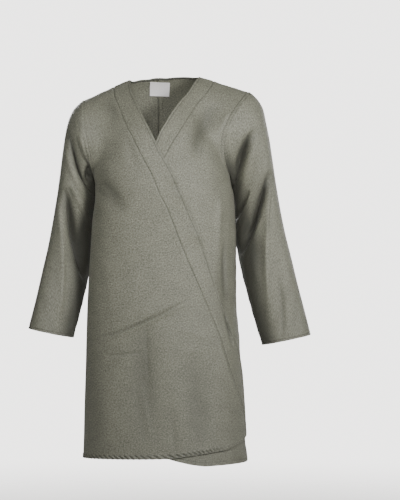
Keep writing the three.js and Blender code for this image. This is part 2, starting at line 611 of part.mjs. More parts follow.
function leftFront() {
  const turnAt = (share, level) => lerp(leftBandSeam(level), 1, share);
  const grid = frontGrid(LEFT_FRONT_COLUMNS, turnAt, LEFT_HEM, () => 0, CLOTH, ['first', 'last', 'top']);
  return wall('left_front', WOOL, grid);
}

function leftFrontBand() {
  const turnAt = (share, level) => lerp(leftEdge(level), leftBandSeam(level), share);
  const layer = (turn, level) => BAND_RAISE * smoothstep(level, BAND_RAISE_FROM, BAND_RAISE_TO);
  const grid = frontGrid(BAND_COLUMNS, turnAt, LEFT_HEM, layer, BAND_CLOTH, ['last', 'top']);
  return wall('left_front_band', WOOL, grid);
}

// The grid of one half of the back, from its side seam to the centre one. A column stands at the neck point,
// where the shoulder seam ends, and two more where the turned-in cloth beside the centre seam begins.
function backGrid(sideTurn, neckTurn) {
  const side = Math.sign(2 - sideTurn);
  const aside = (level, away) => {
    const x = bodyPoint(2, level, 'back').x + side * away;
    return solve((turn) => bodyPoint(turn, level, 'back').x - x, 1.5, 2.5);
  };
  const thickTurn = (level) => aside(level, ALLOWANCE_WIDTH);
  const plainTurn = (level) => aside(level, ALLOWANCE_WIDTH + STEP_WIDTH);
  const columns = SHOULDER_COLUMNS + NECK_COLUMNS + 2;
  const columnTurn = (column, level) => {
    if (column === columns) return 2;
    if (column === columns - 1) return thickTurn(level);
    if (column <= SHOULDER_COLUMNS) return lerp(sideTurn, neckTurn, column / SHOULDER_COLUMNS);
    const share = (column - SHOULDER_COLUMNS) / NECK_COLUMNS;
    return lerp(neckTurn, plainTurn(level), share ** NECK_SPREAD);
  };
  const fromSide = (share) => Math.round((side > 0 ? share : 1 - share) * columns);
  const topOf = (column) => (column > SHOULDER_COLUMNS ? backNeck(columnTurn(column, NECK_LEVEL)) : 1);
  return panelGrid({
    face: 'back',
    columns,
    turnAt: (share, level) => columnTurn(fromSide(share), level),
    hem: curve(BACK_HEM, 'turn', 'z'),
    topAt: (share) => topOf(fromSide(share)),
    layer: () => 0,
    cloth: CLOTH,
    folds: BACK_FOLDS,
    thick: (i) => (fromSide(i / columns) >= columns - 1 ? TURNED_CLOTH : 0),
    seams: ['first', 'last', 'top'],
  });
}

// A point of a wall's inside, with i counting columns and down the share of the way to the row below the top
function insidePoint({ outer, inward }, i, down) {
  const low = Math.min(Math.max(Math.floor(i), 0), outer.length - 2);
  const top = outer[0].length - 1;
  const at = (column, row) => outer[column][row].clone().add(inward[column][row]);
  const before = at(low, top).lerp(at(low, top - 1), down);
  return before.lerp(at(low + 1, top).lerp(at(low + 1, top - 1), down), i - low);
}

// Binding along the inside of the back neck's edge, made from the backs' own points
function neckBinding(leftBack, rightBack) {
  const last = leftBack.outer.length - 1;
  const first = SHOULDER_COLUMNS;
  const places = [{ grid: leftBack, i: first + 0.5 }];
  for (let i = first + 1; i <= last; i += 1) places.push({ grid: leftBack, i });
  for (let i = 1; i < last - first; i += 1) places.push({ grid: rightBack, i });
  places.push({ grid: rightBack, i: last - first - 0.5 });
  const outer = [];
  const inward = [];
  for (const { grid, i } of places) {
    const drop = insidePoint(grid, i, 0).distanceTo(insidePoint(grid, i, 1));
    const downs = [BINDING_INSET / drop, BINDING_WIDTH / drop];
    const [top, bottom] = downs.map((down) => insidePoint(grid, i, down));
    const ahead = insidePoint(grid, i + 0.1, 0).sub(insidePoint(grid, i - 0.1, 0));
    const inside = ahead.cross(bottom.clone().sub(top)).normalize();
    outer.push([bottom, top].map((point) => point.addScaledVector(inside, TRIM_GAP)));
    inward.push([inside, inside].map((normal) => normal.clone().setLength(BINDING_CLOTH)));
  }
  return wall('neck_binding', BINDING, { outer, inward });
}

function neckLabel() {
  const depth = CLOTH + TURNED_CLOTH + 2 * TRIM_GAP;
  const outer = [];
  const inward = [];
  for (let i = 0; i <= LABEL_COLUMNS; i += 1) {
    const x = LABEL_MIDDLE_X + (0.5 - i / LABEL_COLUMNS) * LABEL_WIDTH;
    const heights = Array.from({ length: LABEL_ROWS + 1 }, (_, j) => LABEL_HEIGHT * (1 - j / LABEL_ROWS));
    const places = heights.map((height) => locate(x, LABEL_TOP_Z - height, 'back'));
    const normals = places.map(({ turn, level }) => bodyNormal(turn, level, 'back'));
    const points = places.map(({ turn, level }) => bodyPoint(turn, level, 'back'));
    outer.push(points.map((point, j) => point.addScaledVector(normals[j], -depth)));
    inward.push(normals.map((normal) => normal.clone().multiplyScalar(-LABEL_CLOTH)));
  }
  return wall('neck_label', LABEL, { outer, inward });
}

const leftBack = backGrid(1, leftNeckTurn);
const rightBack = backGrid(3, rightNeckTurn);
const coat = new THREE.Group();
coat.add(
  wall('left_back', WOOL, leftBack),
  wall('right_back', WOOL, rightBack),
  leftFront(),
  leftFrontBand(),
  rightFront(),
  rightFrontBand(),
  sleeve('left_sleeve', leftSleeveRow, 1, LEFT_SLEEVE_FOLDS, LEFT_SLEEVE_BACK_FOLDS),
  sleeve('right_sleeve', rightSleeveRow, -1, RIGHT_SLEEVE_FOLDS, RIGHT_SLEEVE_BACK_FOLDS),
  neckBinding(leftBack, rightBack),
  neckLabel(),
);
export default coat;
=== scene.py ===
"""Dresses the knee-length wool wrap coat: cloth panels with seams, creases, stitching and a roped hem.

Every sewn piece is a closed wall of cloth on the form that its solid has, with more points and finer
relief. Sizes are in millimetres, with the front towards -Y and the wearer's left towards +X.
"""
import logging
import math
from dataclasses import dataclass, field
from enum import Enum
from typing import Callable, Optional, Sequence

import bpy
import numpy as np
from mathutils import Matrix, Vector


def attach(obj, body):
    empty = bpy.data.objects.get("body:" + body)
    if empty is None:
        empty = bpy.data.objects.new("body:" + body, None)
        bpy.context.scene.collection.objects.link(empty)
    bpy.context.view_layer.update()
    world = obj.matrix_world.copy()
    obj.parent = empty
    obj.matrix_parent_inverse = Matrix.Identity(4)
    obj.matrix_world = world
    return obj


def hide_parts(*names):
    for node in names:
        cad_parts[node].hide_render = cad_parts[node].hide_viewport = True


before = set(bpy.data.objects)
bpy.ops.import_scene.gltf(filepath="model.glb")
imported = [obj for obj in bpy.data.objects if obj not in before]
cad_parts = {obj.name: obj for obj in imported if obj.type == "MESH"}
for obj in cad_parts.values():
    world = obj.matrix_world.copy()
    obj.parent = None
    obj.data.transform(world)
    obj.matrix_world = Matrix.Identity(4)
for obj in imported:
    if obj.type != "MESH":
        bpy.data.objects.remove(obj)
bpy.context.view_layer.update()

log = logging.getLogger("coat")

MM = 0.001
Array = np.ndarray
LineOnBody = Callable[[Array], Array]
Triple = tuple[float, float, float]
Socket = bpy.types.NodeSocket


def smoothstep(value: Array, low: float, high: float) -> Array:
    """Gives the soft step from 0 at low to 1 at high."""
    share = np.clip((np.asarray(value, float) - low) / (high - low), 0.0, 1.0)
    return share * share * (3 - 2 * share)


def lerp(start: Array, end: Array, share: Array) -> Array:
    """Gives the value a share of the way from start to end."""
    return start + (end - start) * share


def unit(vectors: Array) -> Array:
    """Gives the vectors with a length of 1."""
    return vectors / np.maximum(np.linalg.norm(vectors, axis=-1, keepdims=True), 1e-9)


def solve(function: Callable[[Array], Array], low: float, high: float, shape: tuple) -> Array:
    """Finds where rising or falling functions are zero, many at once, by halving.

    Args:
        function: The functions, one for each place of the shape.
        low: Lowest place to look at.
        high: Highest place to look at.
        shape: Shape of the places.

    Returns:
        The places where the functions are zero.
    """
    start, end = np.full(shape, float(low)), np.full(shape, float(high))
    rising = function(end) > function(start)
    for _ in range(34):
        middle = (start + end) / 2
        past = (function(middle) > 0) == rising
        end = np.where(past, middle, end)
        start = np.where(past, start, middle)
    return (start + end) / 2


class Curve:
    """A smooth curve through the rows of a table that never overshoots them."""

    def __init__(self, places: Array, values: Array) -> None:
        """Sorts the rows and finds the curve's slope at each."""
        order = np.argsort(places)
        self.at = np.asarray(places, float)[order]
        self.value = np.asarray(values, float)[order]
        rise = np.diff(self.value) / np.diff(self.at)
        product = rise[:-1] * rise[1:]
        total = np.where(product > 0, rise[:-1] + rise[1:], 1.0)
        inner = np.where(product > 0, 2 * product / total, 0.0)
        self.slope = np.concatenate([rise[:1], inner, rise[-1:]])

    def __call__(self, place: Array) -> Array:
        """Gives the curve's values at places, held at its ends."""
        p = np.clip(place, self.at[0], self.at[-1])
        i = np.clip(np.searchsorted(self.at, p, side="right") - 1, 0, len(self.at) - 2)
        step = self.at[i + 1] - self.at[i]
        t = (p - self.at[i]) / step
        start = (1 + 2 * t) * (1 - t) ** 2 * self.value[i] + t * (1 - t) ** 2 * step * self.slope[i]
        end = t * t * (3 - 2 * t) * self.value[i + 1] - t * t * (1 - t) * step * self.slope[i + 1]
        return start + end


@dataclass(frozen=True)
class Table:
    """A short table of sizes with named columns."""

    columns: tuple[str, ...]
    rows: tuple[tuple[float, ...], ...]

    def column(self, name: str) -> Array:
        """Gives one column."""
        return np.array([row[self.columns.index(name)] for row in self.rows], float)

    def curve(self, key: str, column: str) -> Curve:
        """Gives one column as a smooth function of another."""
        return Curve(self.column(key), self.column(column))


TORSO = Table(("z", "right", "left", "front", "back"), (
    (-1020, -217.5, 228, -142, 138), (-994, -216.5, 226.5, -141, 137),
    (-945, -214.5, 220.5, -139.5, 136), (-837, -212, 214, -136, 133), (-770, -210, 209.5, -134, 130),
    (-675, -207.5, 205, -131, 127), (-567, -204, 196.5, -127, 120), (-432, -196, 196, -124, 110),
    (-356, -191, 194, -126, 110), (-283, -182.5, 189, -129, 114), (-254, -183.5, 182, -128, 117),
    (-230, -189, 178, -126, 118),
))
RING_COLUMNS = (
    "out_x", "out_z", "in_x", "in_z", "mid_y", "front", "back", "lean", "bow_front", "bow_back",
)
RIGHT_SLEEVE = Table(RING_COLUMNS, (
    (-221, -31, -189, -230, 8, 72, 76, 0, -8, 26), (-241, -50, -190.5, -240, 8, 71, 76, 12, -5, 16),
    (-256, -80, -187, -253, 8, 70, 75, 26, 0, 8), (-265, -115, -184.5, -268, 9, 69, 74, 38, 0, 3),
    (-272, -160, -182, -288, 10, 68, 72, 46, 0, 0), (-279, -215, -182.5, -314, 12, 66, 70, 50, 0, 0),
    (-288, -280, -186.5, -352, 14, 63, 67, 50, 0, 0), (-299, -348, -190, -402, 14, 60, 64, 50, 0, 0),
    (-312, -418, -196.5, -458, 11, 57, 60, 44, 0, 0), (-328, -490, -208.5, -522, 5, 53, 56, 34, 0, 0),
    (-345, -567, -224, -592, -3, 49, 51, 18, 0, 0), (-364, -643, -243, -668, -12, 45, 46, 8, 0, 0),
))
LEFT_SLEEVE = Table(RING_COLUMNS, (
    (236, -8, 178, -230, 8, 70, 76, 0, -38, -28), (254, -25, 183, -240, 8, 70, 76, 12, -30, -18),
    (269.5, -52, 184, -252, 8, 70, 75, 26, -19, -10), (278, -90, 185, -266, 9, 69, 74, 38, -9, -4),
    (287, -135, 187.5, -286, 10, 68, 73, 46, -3, 0), (296, -195, 188, -312, 12, 66, 71, 50, 0, 0),
    (305, -255, 189, -345, 14, 64, 68, 50, 0, 0), (316, -320, 191, -385, 15, 61, 65, 50, 0, 0),
    (329, -385, 200, -432, 13, 58, 62, 44, 0, 0), (345, -450, 210, -485, 8, 55, 58, 34, 0, 0),
    (364, -530, 226, -548, 0, 52, 53, 22, 0, 0), (382, -600, 245, -618, -7, 49, 49, 14, 0, 0),
    (397, -660, 266, -688, -13, 46, 46, 8, 0, 0),
))

# Lines on the body, top to bottom. The first list is seen straight on, and the second one goes
# round the side.
SEEN = ("x", "z")
ROUND = ("turn", "z")
RIGHT_EDGE_TOP = -93.0
RIGHT_EDGE = Table(SEEN, (
    (-85.5, -5), (-73, -33), (-47, -88), (-19, -142), (6.5, -195), (31.5, -242), (56, -300), (82, -358),
    (99, -405), (118.5, -458), (132.5, -511), (150.5, -565), (169.5, -618), (189, -673),
))
RIGHT_EDGE_ROUND = Table(ROUND, ((0.84, -715), (0.94, -770), (1.06, -837), (1.16, -885)))
RIGHT_SEAM_TOP = -134.0
RIGHT_SEAM = Table(SEEN, (
    (-132.5, -12), (-125, -33), (-103, -88), (-75.5, -142), (-49, -195), (-23, -248), (0, -300),
    (24.5, -353), (43, -405), (64, -458), (87, -511), (110, -564), (133, -618), (152.5, -671),
    (169, -725), (184, -780),
))
RIGHT_SEAM_ROUND = Table(ROUND, ((0.8, -837), (0.92, -900)))
LEFT_EDGE_TOP = 97.0
LEFT_EDGE = Table(SEEN, (
    (70.5, -5), (46.5, -33), (27, -61), (8.5, -88), (-6, -115), (-17, -142), (-29, -169), (-40, -195),
    (-58, -242), (-78, -300), (-115, -405), (-143, -511), (-166, -618),
))
LEFT_EDGE_ROUND = Table(ROUND, ((-0.66, -720), (-0.74, -880)))
LEFT_SEAM_TOP = 133.5
LEFT_SEAM = Table(SEEN, (
    (120, -5), (97, -33), (78.5, -61), (62.5, -88), (45.5, -115), (28, -142), (12, -169), (-3, -195),
    (-14, -242), (-28, -300), (-62, -405), (-96, -511), (-122, -618),
))
LEFT_SEAM_ROUND = Table(ROUND, ((-0.46, -720), (-0.54, -880)))
BACK_NECK = Table(SEEN, ((86, 36.5), (64, 39), (35, 39.5), (0, 38), (-35, 36), (-66, 32), (-84, 27.5)))

RIGHT_HEM = Table(ROUND, (
    (-1, -990), (-0.4, -984), (0, -981), (0.19, -973), (0.39, -965), (0.51, -961), (0.62, -952),
    (0.76, -942), (0.88, -933), (1, -922), (1.1, -906), (1.2, -882),
))
LEFT_HEM = Table(ROUND, (
    (-0.76, -880), (-0.6, -922), (-0.4, -950), (-0.2, -966), (0, -979), (0.1, -990), (0.2, -998),
    (0.3, -1002), (0.45, -1001), (0.7, -1000), (1, -1000),
))
BACK_HEM = Table(ROUND, ((1, -1000), (1.5, -1001), (2, -998), (2.5, -994), (3, -990)))

# Folds and creases seen straight on. A height above zero is a ridge, below zero a trough.
FOLD_COLUMNS = ("from_x", "from_z", "to_x", "to_z", "bow", "width", "height")
FRONT_FOLDS = Table(FOLD_COLUMNS, (
    (140, -38, 84, -190, 8, 20, -8), (176, -60, 122, -200, 6, 18, 5),
    (172, -400, 168, -650, 4, 18, -5), (-170, -222, -96, -330, 6, 18, -6),
    (-163, -24, -124, -86, 0, 15, -4), (-48, -600, -40, -940, 6, 34, -6),
    (74, -700, 96, -960, -6, 30, -5), (-150, -740, -142, -970, 4, 28, 4),
    # narrow creases
    (-188, -672, 70, -560, 8, 3.4, -3.8), (-188, -680, 70, -568, 8, 4.5, 3),
    (-152, -711, -52, -698, 3, 4, -2.4), (-46, -600, -34, -800, 0, 5, -1.1),
    (163, -598, 182, -690, -1, 4.4, -9), (147, -676, 196, -830, 2, 5, 2.6),
    (164, -404, 172, -566, 3, 6, -4), (155, -286, 146, -446, 2, 9, 4.5),
    (-178, -236, -128, -262, -4, 6, 2), (-184, -244, -142, -300, 3, 4, -2.8),
    (166, -246, 132, -284, 3, 7, -1.5), (120, -330, 160, -420, 5, 9, -1.2),
    (-20, -420, -120, -520, -8, 14, -1.4), (-150, -420, -128, -600, 6, 14, 1.3),
    (36, -640, 120, -668, -4, 8, 1.2), (-92, -120, -60, -236, 5, 12, -1.2),
    (-60, -760, -20, -962, 4, 9, 1.4), (26, -820, 34, -966, 2, 8, -1.3),
    (128, -800, 140, -935, -3, 9, 1.4),
))
BACK_FOLDS = Table(FOLD_COLUMNS, (
    (-150, -210, -90, -350, 8, 16, -5), (142, -214, 78, -340, -8, 16, -5),
    (-92, -430, -112, -980, 6, 26, -6), (66, -470, 92, -980, -8, 28, -6),
    (-30, -560, -38, -985, 6, 26, 4), (140, -520, 150, -980, 0, 24, 4),
    # narrow creases
    (-168, -232, -110, -272, 5, 7, -1.8), (-160, -260, -124, -322, 4, 8, 1.5),
    (152, -236, 96, -268, -5, 7, -1.9), (146, -262, 112, -318, -4, 8, 1.4),
    (-120, -60, -60, -180, 9, 13, -1.6), (104, -52, 52, -196, -9, 12, -1.5),
    (-150, -600, -70, -650, 7, 8, -1.5), (122, -560, 48, -604, 6, 9, -1.6),
    (112, -575, 40, -618, 6, 7, 1.2), (-60, -700, -66, -960, 5, 10, 1.5),
    (24, -740, 34, -975, -4, 9, -1.6), (118, -700, 124, -972, 3, 9, 1.4),
    (-150, -760, -158, -980, 3, 8, -1.4), (-20, -300, 20, -420, -6, 11, -1.2),
))
RIGHT_SLEEVE_FOLDS = Table(FOLD_COLUMNS, (
    (-260, -112, -186, -288, 10, 11, -9), (-246, -112, -200, -200, -8, 12, 4),
    (-276, -262, -216, -510, -3, 18, -15), (-284, -270, -282, -600, -10, 15, 6),
    # narrow creases
    (-266, -126, -206, -290, 14, 7, 3), (-204, -206, -199, -250, 0, 7, -15),
    (-256, -260, -240, -294, 0, 5, -4), (-231, -246, -226, -290, 0, 6, 3),
    (-214, -190, -196, -206, 0, 4, -3), (-236, -356, -208, -420, 3, 8, 1.6),
    (-300, -380, -312, -520, 3, 8, -1.4), (-262, -520, -280, -640, 3, 9, 1.5),
    (-236, -560, -252, -640, -2, 7, -1.3), (-330, -540, -342, -640, 2, 8, 1.1),
    (-232, -120, -214, -176, 3, 7, -1.5),
))
# Folds with one steep side. Each runs downwards, and its widths are those towards the left and
# the right arm.
TUCK_COLUMNS = ("from_x", "from_z", "to_x", "to_z", "bow", "leftward", "rightward", "height")
RIGHT_SLEEVE_TUCKS = Table(TUCK_COLUMNS, (
    (-260, -108, -184, -290, 12, 3.0, 3.4, -10), (-269, -268, -210, -530, 0, 19, 4.4, -15),
    (-252, -262, -194, -384, -4, 13, 5, 6), (-284, -286, -277, -620, -12, 4.5, 9, 4),
))
LEFT_SLEEVE_TUCKS = Table(TUCK_COLUMNS, (
    (238, -118, 184, -268, 3, 4.0, 12, -15), (240, -140, 190, -270, -3, 9, 3.6, 5),
    (230, -274, 194, -352, 0, 3.6, 9, -13), (270, -244, 206, -380, 2, 8, 6, 4),
    (288, -224, 206, -426, -2, 14, 4.4, -16), (291, -246, 282, -570, 8, 3.6, 11, 5),
    (256, -330, 204, -452, 0, 7, 20, -10),
    (295, -258, 284, -470, 4, 2.8, 2.8, -2.6), (302, -496, 316, -668, -9, 8, 5, -5),
))
LEFT_SLEEVE_FOLDS = Table(FOLD_COLUMNS, (
    (246, -104, 192, -268, 4, 13, -12), (258, -138, 202, -290, 3, 12, 6),
    (298, -216, 212, -396, 5, 15, -13), (294, -256, 288, -640, 6, 15, 6),
    # narrow creases
    (232, -100, 222, -150, 2, 6, 2), (276, -150, 262, -220, 3, 7, -1.6),
    (330, -430, 344, -600, 3, 10, 1.4), (236, -420, 262, -540, 4, 10, 1.6),
    (262, -560, 276, -660, 2, 8, -1.3), (256, -96, 262, -170, -3, 8, -1.6),
    (352, -560, 366, -660, 2, 8, -1.2),
))
RIGHT_SLEEVE_BACK_FOLDS = Table(FOLD_COLUMNS, (
    (-252, -150, -198, -300, -6, 14, -11), (-292, -300, -222, -430, -8, 15, -10),
    # narrow creases
    (-246, -168, -204, -286, -6, 5, -2.4), (-262, -206, -214, -330, -7, 7, 2.2),
    (-284, -322, -232, -412, -7, 5.5, -2.2), (-300, -372, -244, -470, -6, 8, 2),
    (-296, -480, -318, -630, 4, 9, -1.6), (-256, -540, -276, -646, 3, 8, 1.4),
    (-238, -110, -222, -180, 3, 8, -1.4),
))
LEFT_SLEEVE_BACK_FOLDS = Table(FOLD_COLUMNS, (
    (262, -140, 204, -300, 6, 14, -11), (306, -310, 226, -430, 8, 15, -10),
    # narrow creases
    (256, -158, 210, -284, 6, 5, -2.4), (276, -206, 220, -334, 7, 7, 2.2),
    (298, -328, 236, -414, 7, 5.5, -2.2), (314, -376, 250, -470, 6, 8, 2),
    (322, -480, 346, -640, -4, 9, -1.6), (272, -560, 290, -668, -3, 8, 1.4),
    (260, -90, 254, -160, -3, 8, -1.5),
))
EDGE_LIFTS = Table(("z", "half_length", "height"), (
    (-246, 16, 5), (-292, 18, 3), (-396, 24, 6), (-630, 30, 2.5),
))

# Small puckers beside a seam, by their place along it: how far they reach and how high they stand
PUCKERS = Table(("at", "half_width", "reach", "height"), (
    (14, 7, 15, 0.5), (31, 6, 11, -0.45), (55, 8, 22, 0.55), (72, 6, 13, -0.5), (101, 9, 18, 0.4),
    (124, 7, 12, -0.6), (149, 7, 26, 0.5), (163, 6, 10, -0.4), (196, 10, 17, 0.6), (222, 7, 14, -0.45),
    (241, 7, 20, 0.4), (274, 9, 16, -0.55), (297, 7, 11, 0.5), (318, 7, 24, -0.4), (352, 10, 19, 0.5),
    (371, 7, 12, -0.5), (399, 7, 15, 0.45), (431, 9, 21, -0.6), (452, 7, 13, 0.4), (480, 8, 18, -0.45),
))
PUCKER_LENGTH = 500.0


class Side(Enum):
    """Which side of the armhole a piece of the body lies on."""

    FRONT = 1
    BACK = -1


class Border(Enum):
    """How a panel ends on one of its sides."""

    SEAM = "sewn to its neighbour"
    STITCHED = "sewn to its neighbour and stitched down beside the seam"
    EDGE = "turned in and stitched"
    PLAIN = "turned in"
    ROPED = "rolled hem with slanting ridges"
    OPEN_SEAM = "sewn, with the turned-in cloth pressed open inside"


def fold_height(folds: Table, x: Array, z: Array) -> Array:
    """Gives the height of all folds or tucks of a table at places seen straight on."""
    height = np.zeros_like(x)
    for from_x, from_z, to_x, to_z, bow, *widths, rise in folds.rows:
        along_x, along_z = to_x - from_x, to_z - from_z
        length = math.hypot(along_x, along_z)
        share = ((x - from_x) * along_x + (z - from_z) * along_z) / length**2
        within = np.clip(share, 0.0, 1.0)
        aside = ((x - from_x) * along_z - (z - from_z) * along_x) / length
        off = aside - bow * 4 * within * (1 - within)
        width = np.where(off < 0, widths[0], widths[-1])
        height += rise * np.sin(np.pi * within) ** 0.7 * np.exp(-((off / width) ** 2))
    return height


def unevenness(x: Array, z: Array) -> Array:
    """Gives the slight unevenness of worn wool cloth, in millimetres."""
    slow = 0.34 * np.sin(x / 61 + 0.9 * np.sin(z / 117) + 1.3)
    slow = slow * np.sin(z / 149 + 0.6 * np.sin(x / 53) + 0.4)
    fast = 0.16 * np.sin(x / 23 + 1.7 * np.sin(z / 71 + 0.8))
    fast = fast * np.sin(z / 87 + 1.2 * np.sin(x / 44) + 2.1)
    return slow + fast


def pucker_height(along: Array, off: Array, shift: float) -> Array:
    """Gives the height of the puckers beside a seam.

    Args:
        along: Places along the seam.
        off: Distances from the seam.
        shift: Where this seam starts in the table of puckers.

    Returns:
        Heights in millimetres.
    """
    height = np.zeros_like(along)
    place = np.mod(along + shift, PUCKER_LENGTH)
    for at, half_width, reach, rise in PUCKERS.rows:
        near = np.exp(-(((place - at) / half_width) ** 2))
        height += rise * near * (off / 3.5) * np.exp(1 - off / 3.5) * np.exp(-((off / reach) ** 2))
    return height


@dataclass(frozen=True)
class Figure:
    """The form that the coat is cut round.

    A level of 0 is the armpit, 1 the shoulder seam and -1 below the hem. A turn of 0 is the centre
    front, -1 and 1 the right and left side, and 2 the centre back.
    """

    armpit_z: float = -230.0
    skirt_drop: float = 790.0
    peak_z: float = 57.0
    shoulder_y: float = 12.0
    side_y: float = 8.0
    centre_back_x: float = -16.0
    swing_level: float = 0.78
    squareness: float = 2.3
    chest_roundness: float = 1.6
    upper_back_roundness: float = 0.78
    ridge_softness: float = 0.15
    line_softness: float = 0.11
    armhole_sweep: float = 1.6
    armhole_cut: float = 0.36
    armhole_cut_level: float = 0.6
    torso: dict[str, Curve] = field(
        default_factory=lambda: {name: TORSO.curve("z", name) for name in TORSO.columns[1:]}
    )

    def armhole_angle(self, level: Array) -> Array:
        """Gives the angle round the armhole that a level of the body meets."""
        return np.pi * (1 - level * level * (2 - level))

    def section(self, share: Array, level: Array) -> tuple[Array, Array]:
        """Gives the shares of the half width and of the depth between the centre and the side."""
        side = (np.pi / 2) * (1 - self.armhole_cut * smoothstep(level, 0, self.armhole_cut_level))
        power = 2 / self.squareness
        at_side = np.maximum(0, np.cos(side)) ** power
        sideways = (np.sin(share * side) / np.sin(side)) ** power
        return sideways, (np.maximum(0, np.cos(share * side)) ** power - at_side) / (1 - at_side)

    def point(self, turn: Array, level: Array, side: Side) -> Array:
        """Gives points of the body.

        Args:
            turn: Places round the body.
            level: Heights on the body.
            side: Side of the armhole that the piece lies on.

        Returns:
            Points, one row of x, y and z for each place.
        """
        turn, level = np.broadcast_arrays(np.asarray(turn, float), np.asarray(level, float))
        turn = np.where(turn > 2, turn - 4, turn)
        front, right = np.abs(turn) <= 1, turn < 0
        sideways, facing = self.section(np.where(front, np.abs(turn), 2 - np.abs(turn)), level)
        swing = self.centre_back_x * (1 - smoothstep(level, self.swing_level, 1))
        middle_x = np.where(front, 0.0, swing)
        z = self.armpit_z + level * self.skirt_drop
        depth = np.where(front, self.torso["front"](z), self.torso["back"](z))
        side_x = np.where(right, self.torso["right"](z), self.torso["left"](z))
        low = np.stack([lerp(middle_x, side_x, sideways), lerp(self.side_y, depth, facing), z], -1)
        angle = side.value * self.armhole_angle(np.clip(level, 0, 1))
        right_edge, left_edge = (form.ring(np.zeros_like(angle), angle) for form in (RIGHT_FORM, LEFT_FORM))
        edge = np.where(right[..., None], right_edge, left_edge)
        climb = np.clip(level, 0, 1) * np.pi / 2
        roundness = np.where(front, self.chest_roundness, self.upper_back_roundness)
        chest = np.where(front, self.torso["front"](self.armpit_z), self.torso["back"](self.armpit_z))
        reach = np.maximum(0, np.cos(climb)) ** roundness
        middle_y = self.shoulder_y + (chest - self.shoulder_y) * reach
        middle_z = self.armpit_z + (self.peak_z - self.armpit_z) * np.sin(climb)
        flat = 1 - self.soft(sideways) / self.soft(np.array(1.0))
        rise = lerp(np.maximum(0, facing) ** self.armhole_sweep, flat, level * level)
        high = np.stack([
            lerp(middle_x, edge[..., 0], sideways),
            lerp(edge[..., 1], middle_y, facing),
            lerp(edge[..., 2], middle_z, rise),
        ], -1)
        return np.where((level <= 0)[..., None], low, high)

    def soft(self, share: Array) -> Array:
        """Gives the share with its corner at zero rounded."""
        return np.hypot(share, self.ridge_softness) - self.ridge_softness

    def locate(self, x: Array, z: Array, side: Side) -> tuple[Array, Array]:
        """Gives the turn and level of the points that show at x and z."""
        low, high = (-1, 1) if side is Side.FRONT else (1, 3)
        shape = np.shape(x)
        level = np.zeros(shape)
        for _ in range(14):
            at_level = level
            turn = solve(lambda t: self.point(t, at_level, side)[..., 0] - x, low, high, shape)
            at_turn = turn
            level = solve(lambda v: self.point(at_turn, v, side)[..., 2] - z, -1, 1, shape)
        return turn, level

    def turn_at_top(self, x: float, side: Side) -> float:
        """Gives the turn of the point of the shoulder line at x."""
        low, high = (-1, 1) if side is Side.FRONT else (1, 3)
        return float(solve(lambda t: self.point(t, np.ones(1), side)[..., 0] - x, low, high, (1,))[0])

    def line(self, top: float, seen: Table, further: Optional[Table]) -> LineOnBody:
        """Gives a front line's turn as a function of the level.

        Args:
            top: The line's x on the shoulder.
            seen: Its rows seen from the front.
            further: Its rows that go round the side, or None.

        Returns:
            The function.
        """
        turns, levels = self.locate(seen.column("x"), seen.column("z"), Side.FRONT)
        turns = np.append(turns, self.turn_at_top(top, Side.FRONT))
        levels = np.append(levels, 1.0)
        if further is not None:
            turns = np.append(turns, further.column("turn"))
            levels = np.append(levels, (further.column("z") - self.armpit_z) / self.skirt_drop)
        return self.smoothed(Curve(levels, turns))

    def smoothed(self, line: Curve) -> Curve:
        """Takes the small wobbles out of a line, but leaves its two ends where they are."""
        levels = np.linspace(line.at[0], line.at[-1], 301)
        turns = line(levels)
        half = int(self.line_softness * 300 / (levels[-1] - levels[0]))
        kernel = np.exp(-np.linspace(-1.8, 1.8, 2 * half + 1) ** 2)
        start, end = 2 * turns[0] - turns[half:0:-1], 2 * turns[-1] - turns[-2:-half - 2:-1]
        even = np.convolve(np.concatenate([start, turns, end]), kernel / kernel.sum(), mode="valid")
        return Curve(levels, even)


class SleeveForm:
    """The form of a sleeve, as rings from the armhole, at 0, to the cuff, at 1."""

    def __init__(self, rings: Table) -> None:
        """Makes each column of the rings a smooth function of the place along the sleeve."""
        along = np.linspace(0, 1, len(rings.rows))
        self.size = {name: Curve(along, rings.column(name)) for name in rings.columns}

    def ring(self, along: Array, angle: Array) -> Array:
        """Gives points: an angle of 0 is the outer end, a quarter turn the front, a half the underarm."""
        row = {name: curve(along) for name, curve in self.size.items()}
        ahead, across = np.cos(angle), np.sin(angle)
        front = across >= 0
        bow = np.where(front, row["bow_front"], row["bow_back"]) * across**2
        depth = np.where(front, -row["front"], row["back"])
        half_x, half_z = (row["out_x"] - row["in_x"]) / 2, (row["out_z"] - row["in_z"]) / 2
        return np.stack([
            (row["out_x"] + row["in_x"]) / 2 + half_x * ahead + bow,
            row["mid_y"] + row["lean"] * (1 - ahead) / 2 + depth * np.abs(across),
            (row["out_z"] + row["in_z"]) / 2 + half_z * ahead,
        ], -1)


RIGHT_FORM = SleeveForm(RIGHT_SLEEVE)
LEFT_FORM = SleeveForm(LEFT_SLEEVE)
FIGURE = Figure()


def from_side(turns: Array) -> Array:
    """Gives how far places lie from the nearer side of the body, as a turn."""
    return np.abs(np.abs(np.where(turns > 2, turns - 4, turns)) - 1)


def arc_lengths(points: Array) -> Array:
    """Gives the length along rows of points, from each row's first point."""
    steps = np.linalg.norm(np.diff(points, axis=-2), axis=-1)
    start = np.zeros(steps.shape[:-1] + (1,))
    return np.concatenate([start, np.cumsum(steps, axis=-1)], -1)


def along_line(places: Array, length: Array, points: Array) -> Array:
    """Gives the points at places along a line, from the line's points and their distances along it."""
    return np.stack([np.interp(places, length, points[:, k]) for k in range(3)], -1)


def grid_normals(points: Array, flip: bool, closed: bool = False) -> Array:
    """Gives the outward normals of a grid of points, columns first, closed round its columns or not."""
    if closed:
        across = np.roll(points, -1, 0) - np.roll(points, 1, 0)
    else:
        across = np.gradient(points, axis=0)
    normal = unit(np.cross(unit(across), unit(np.gradient(points, axis=1))))
    return -normal if flip else normal


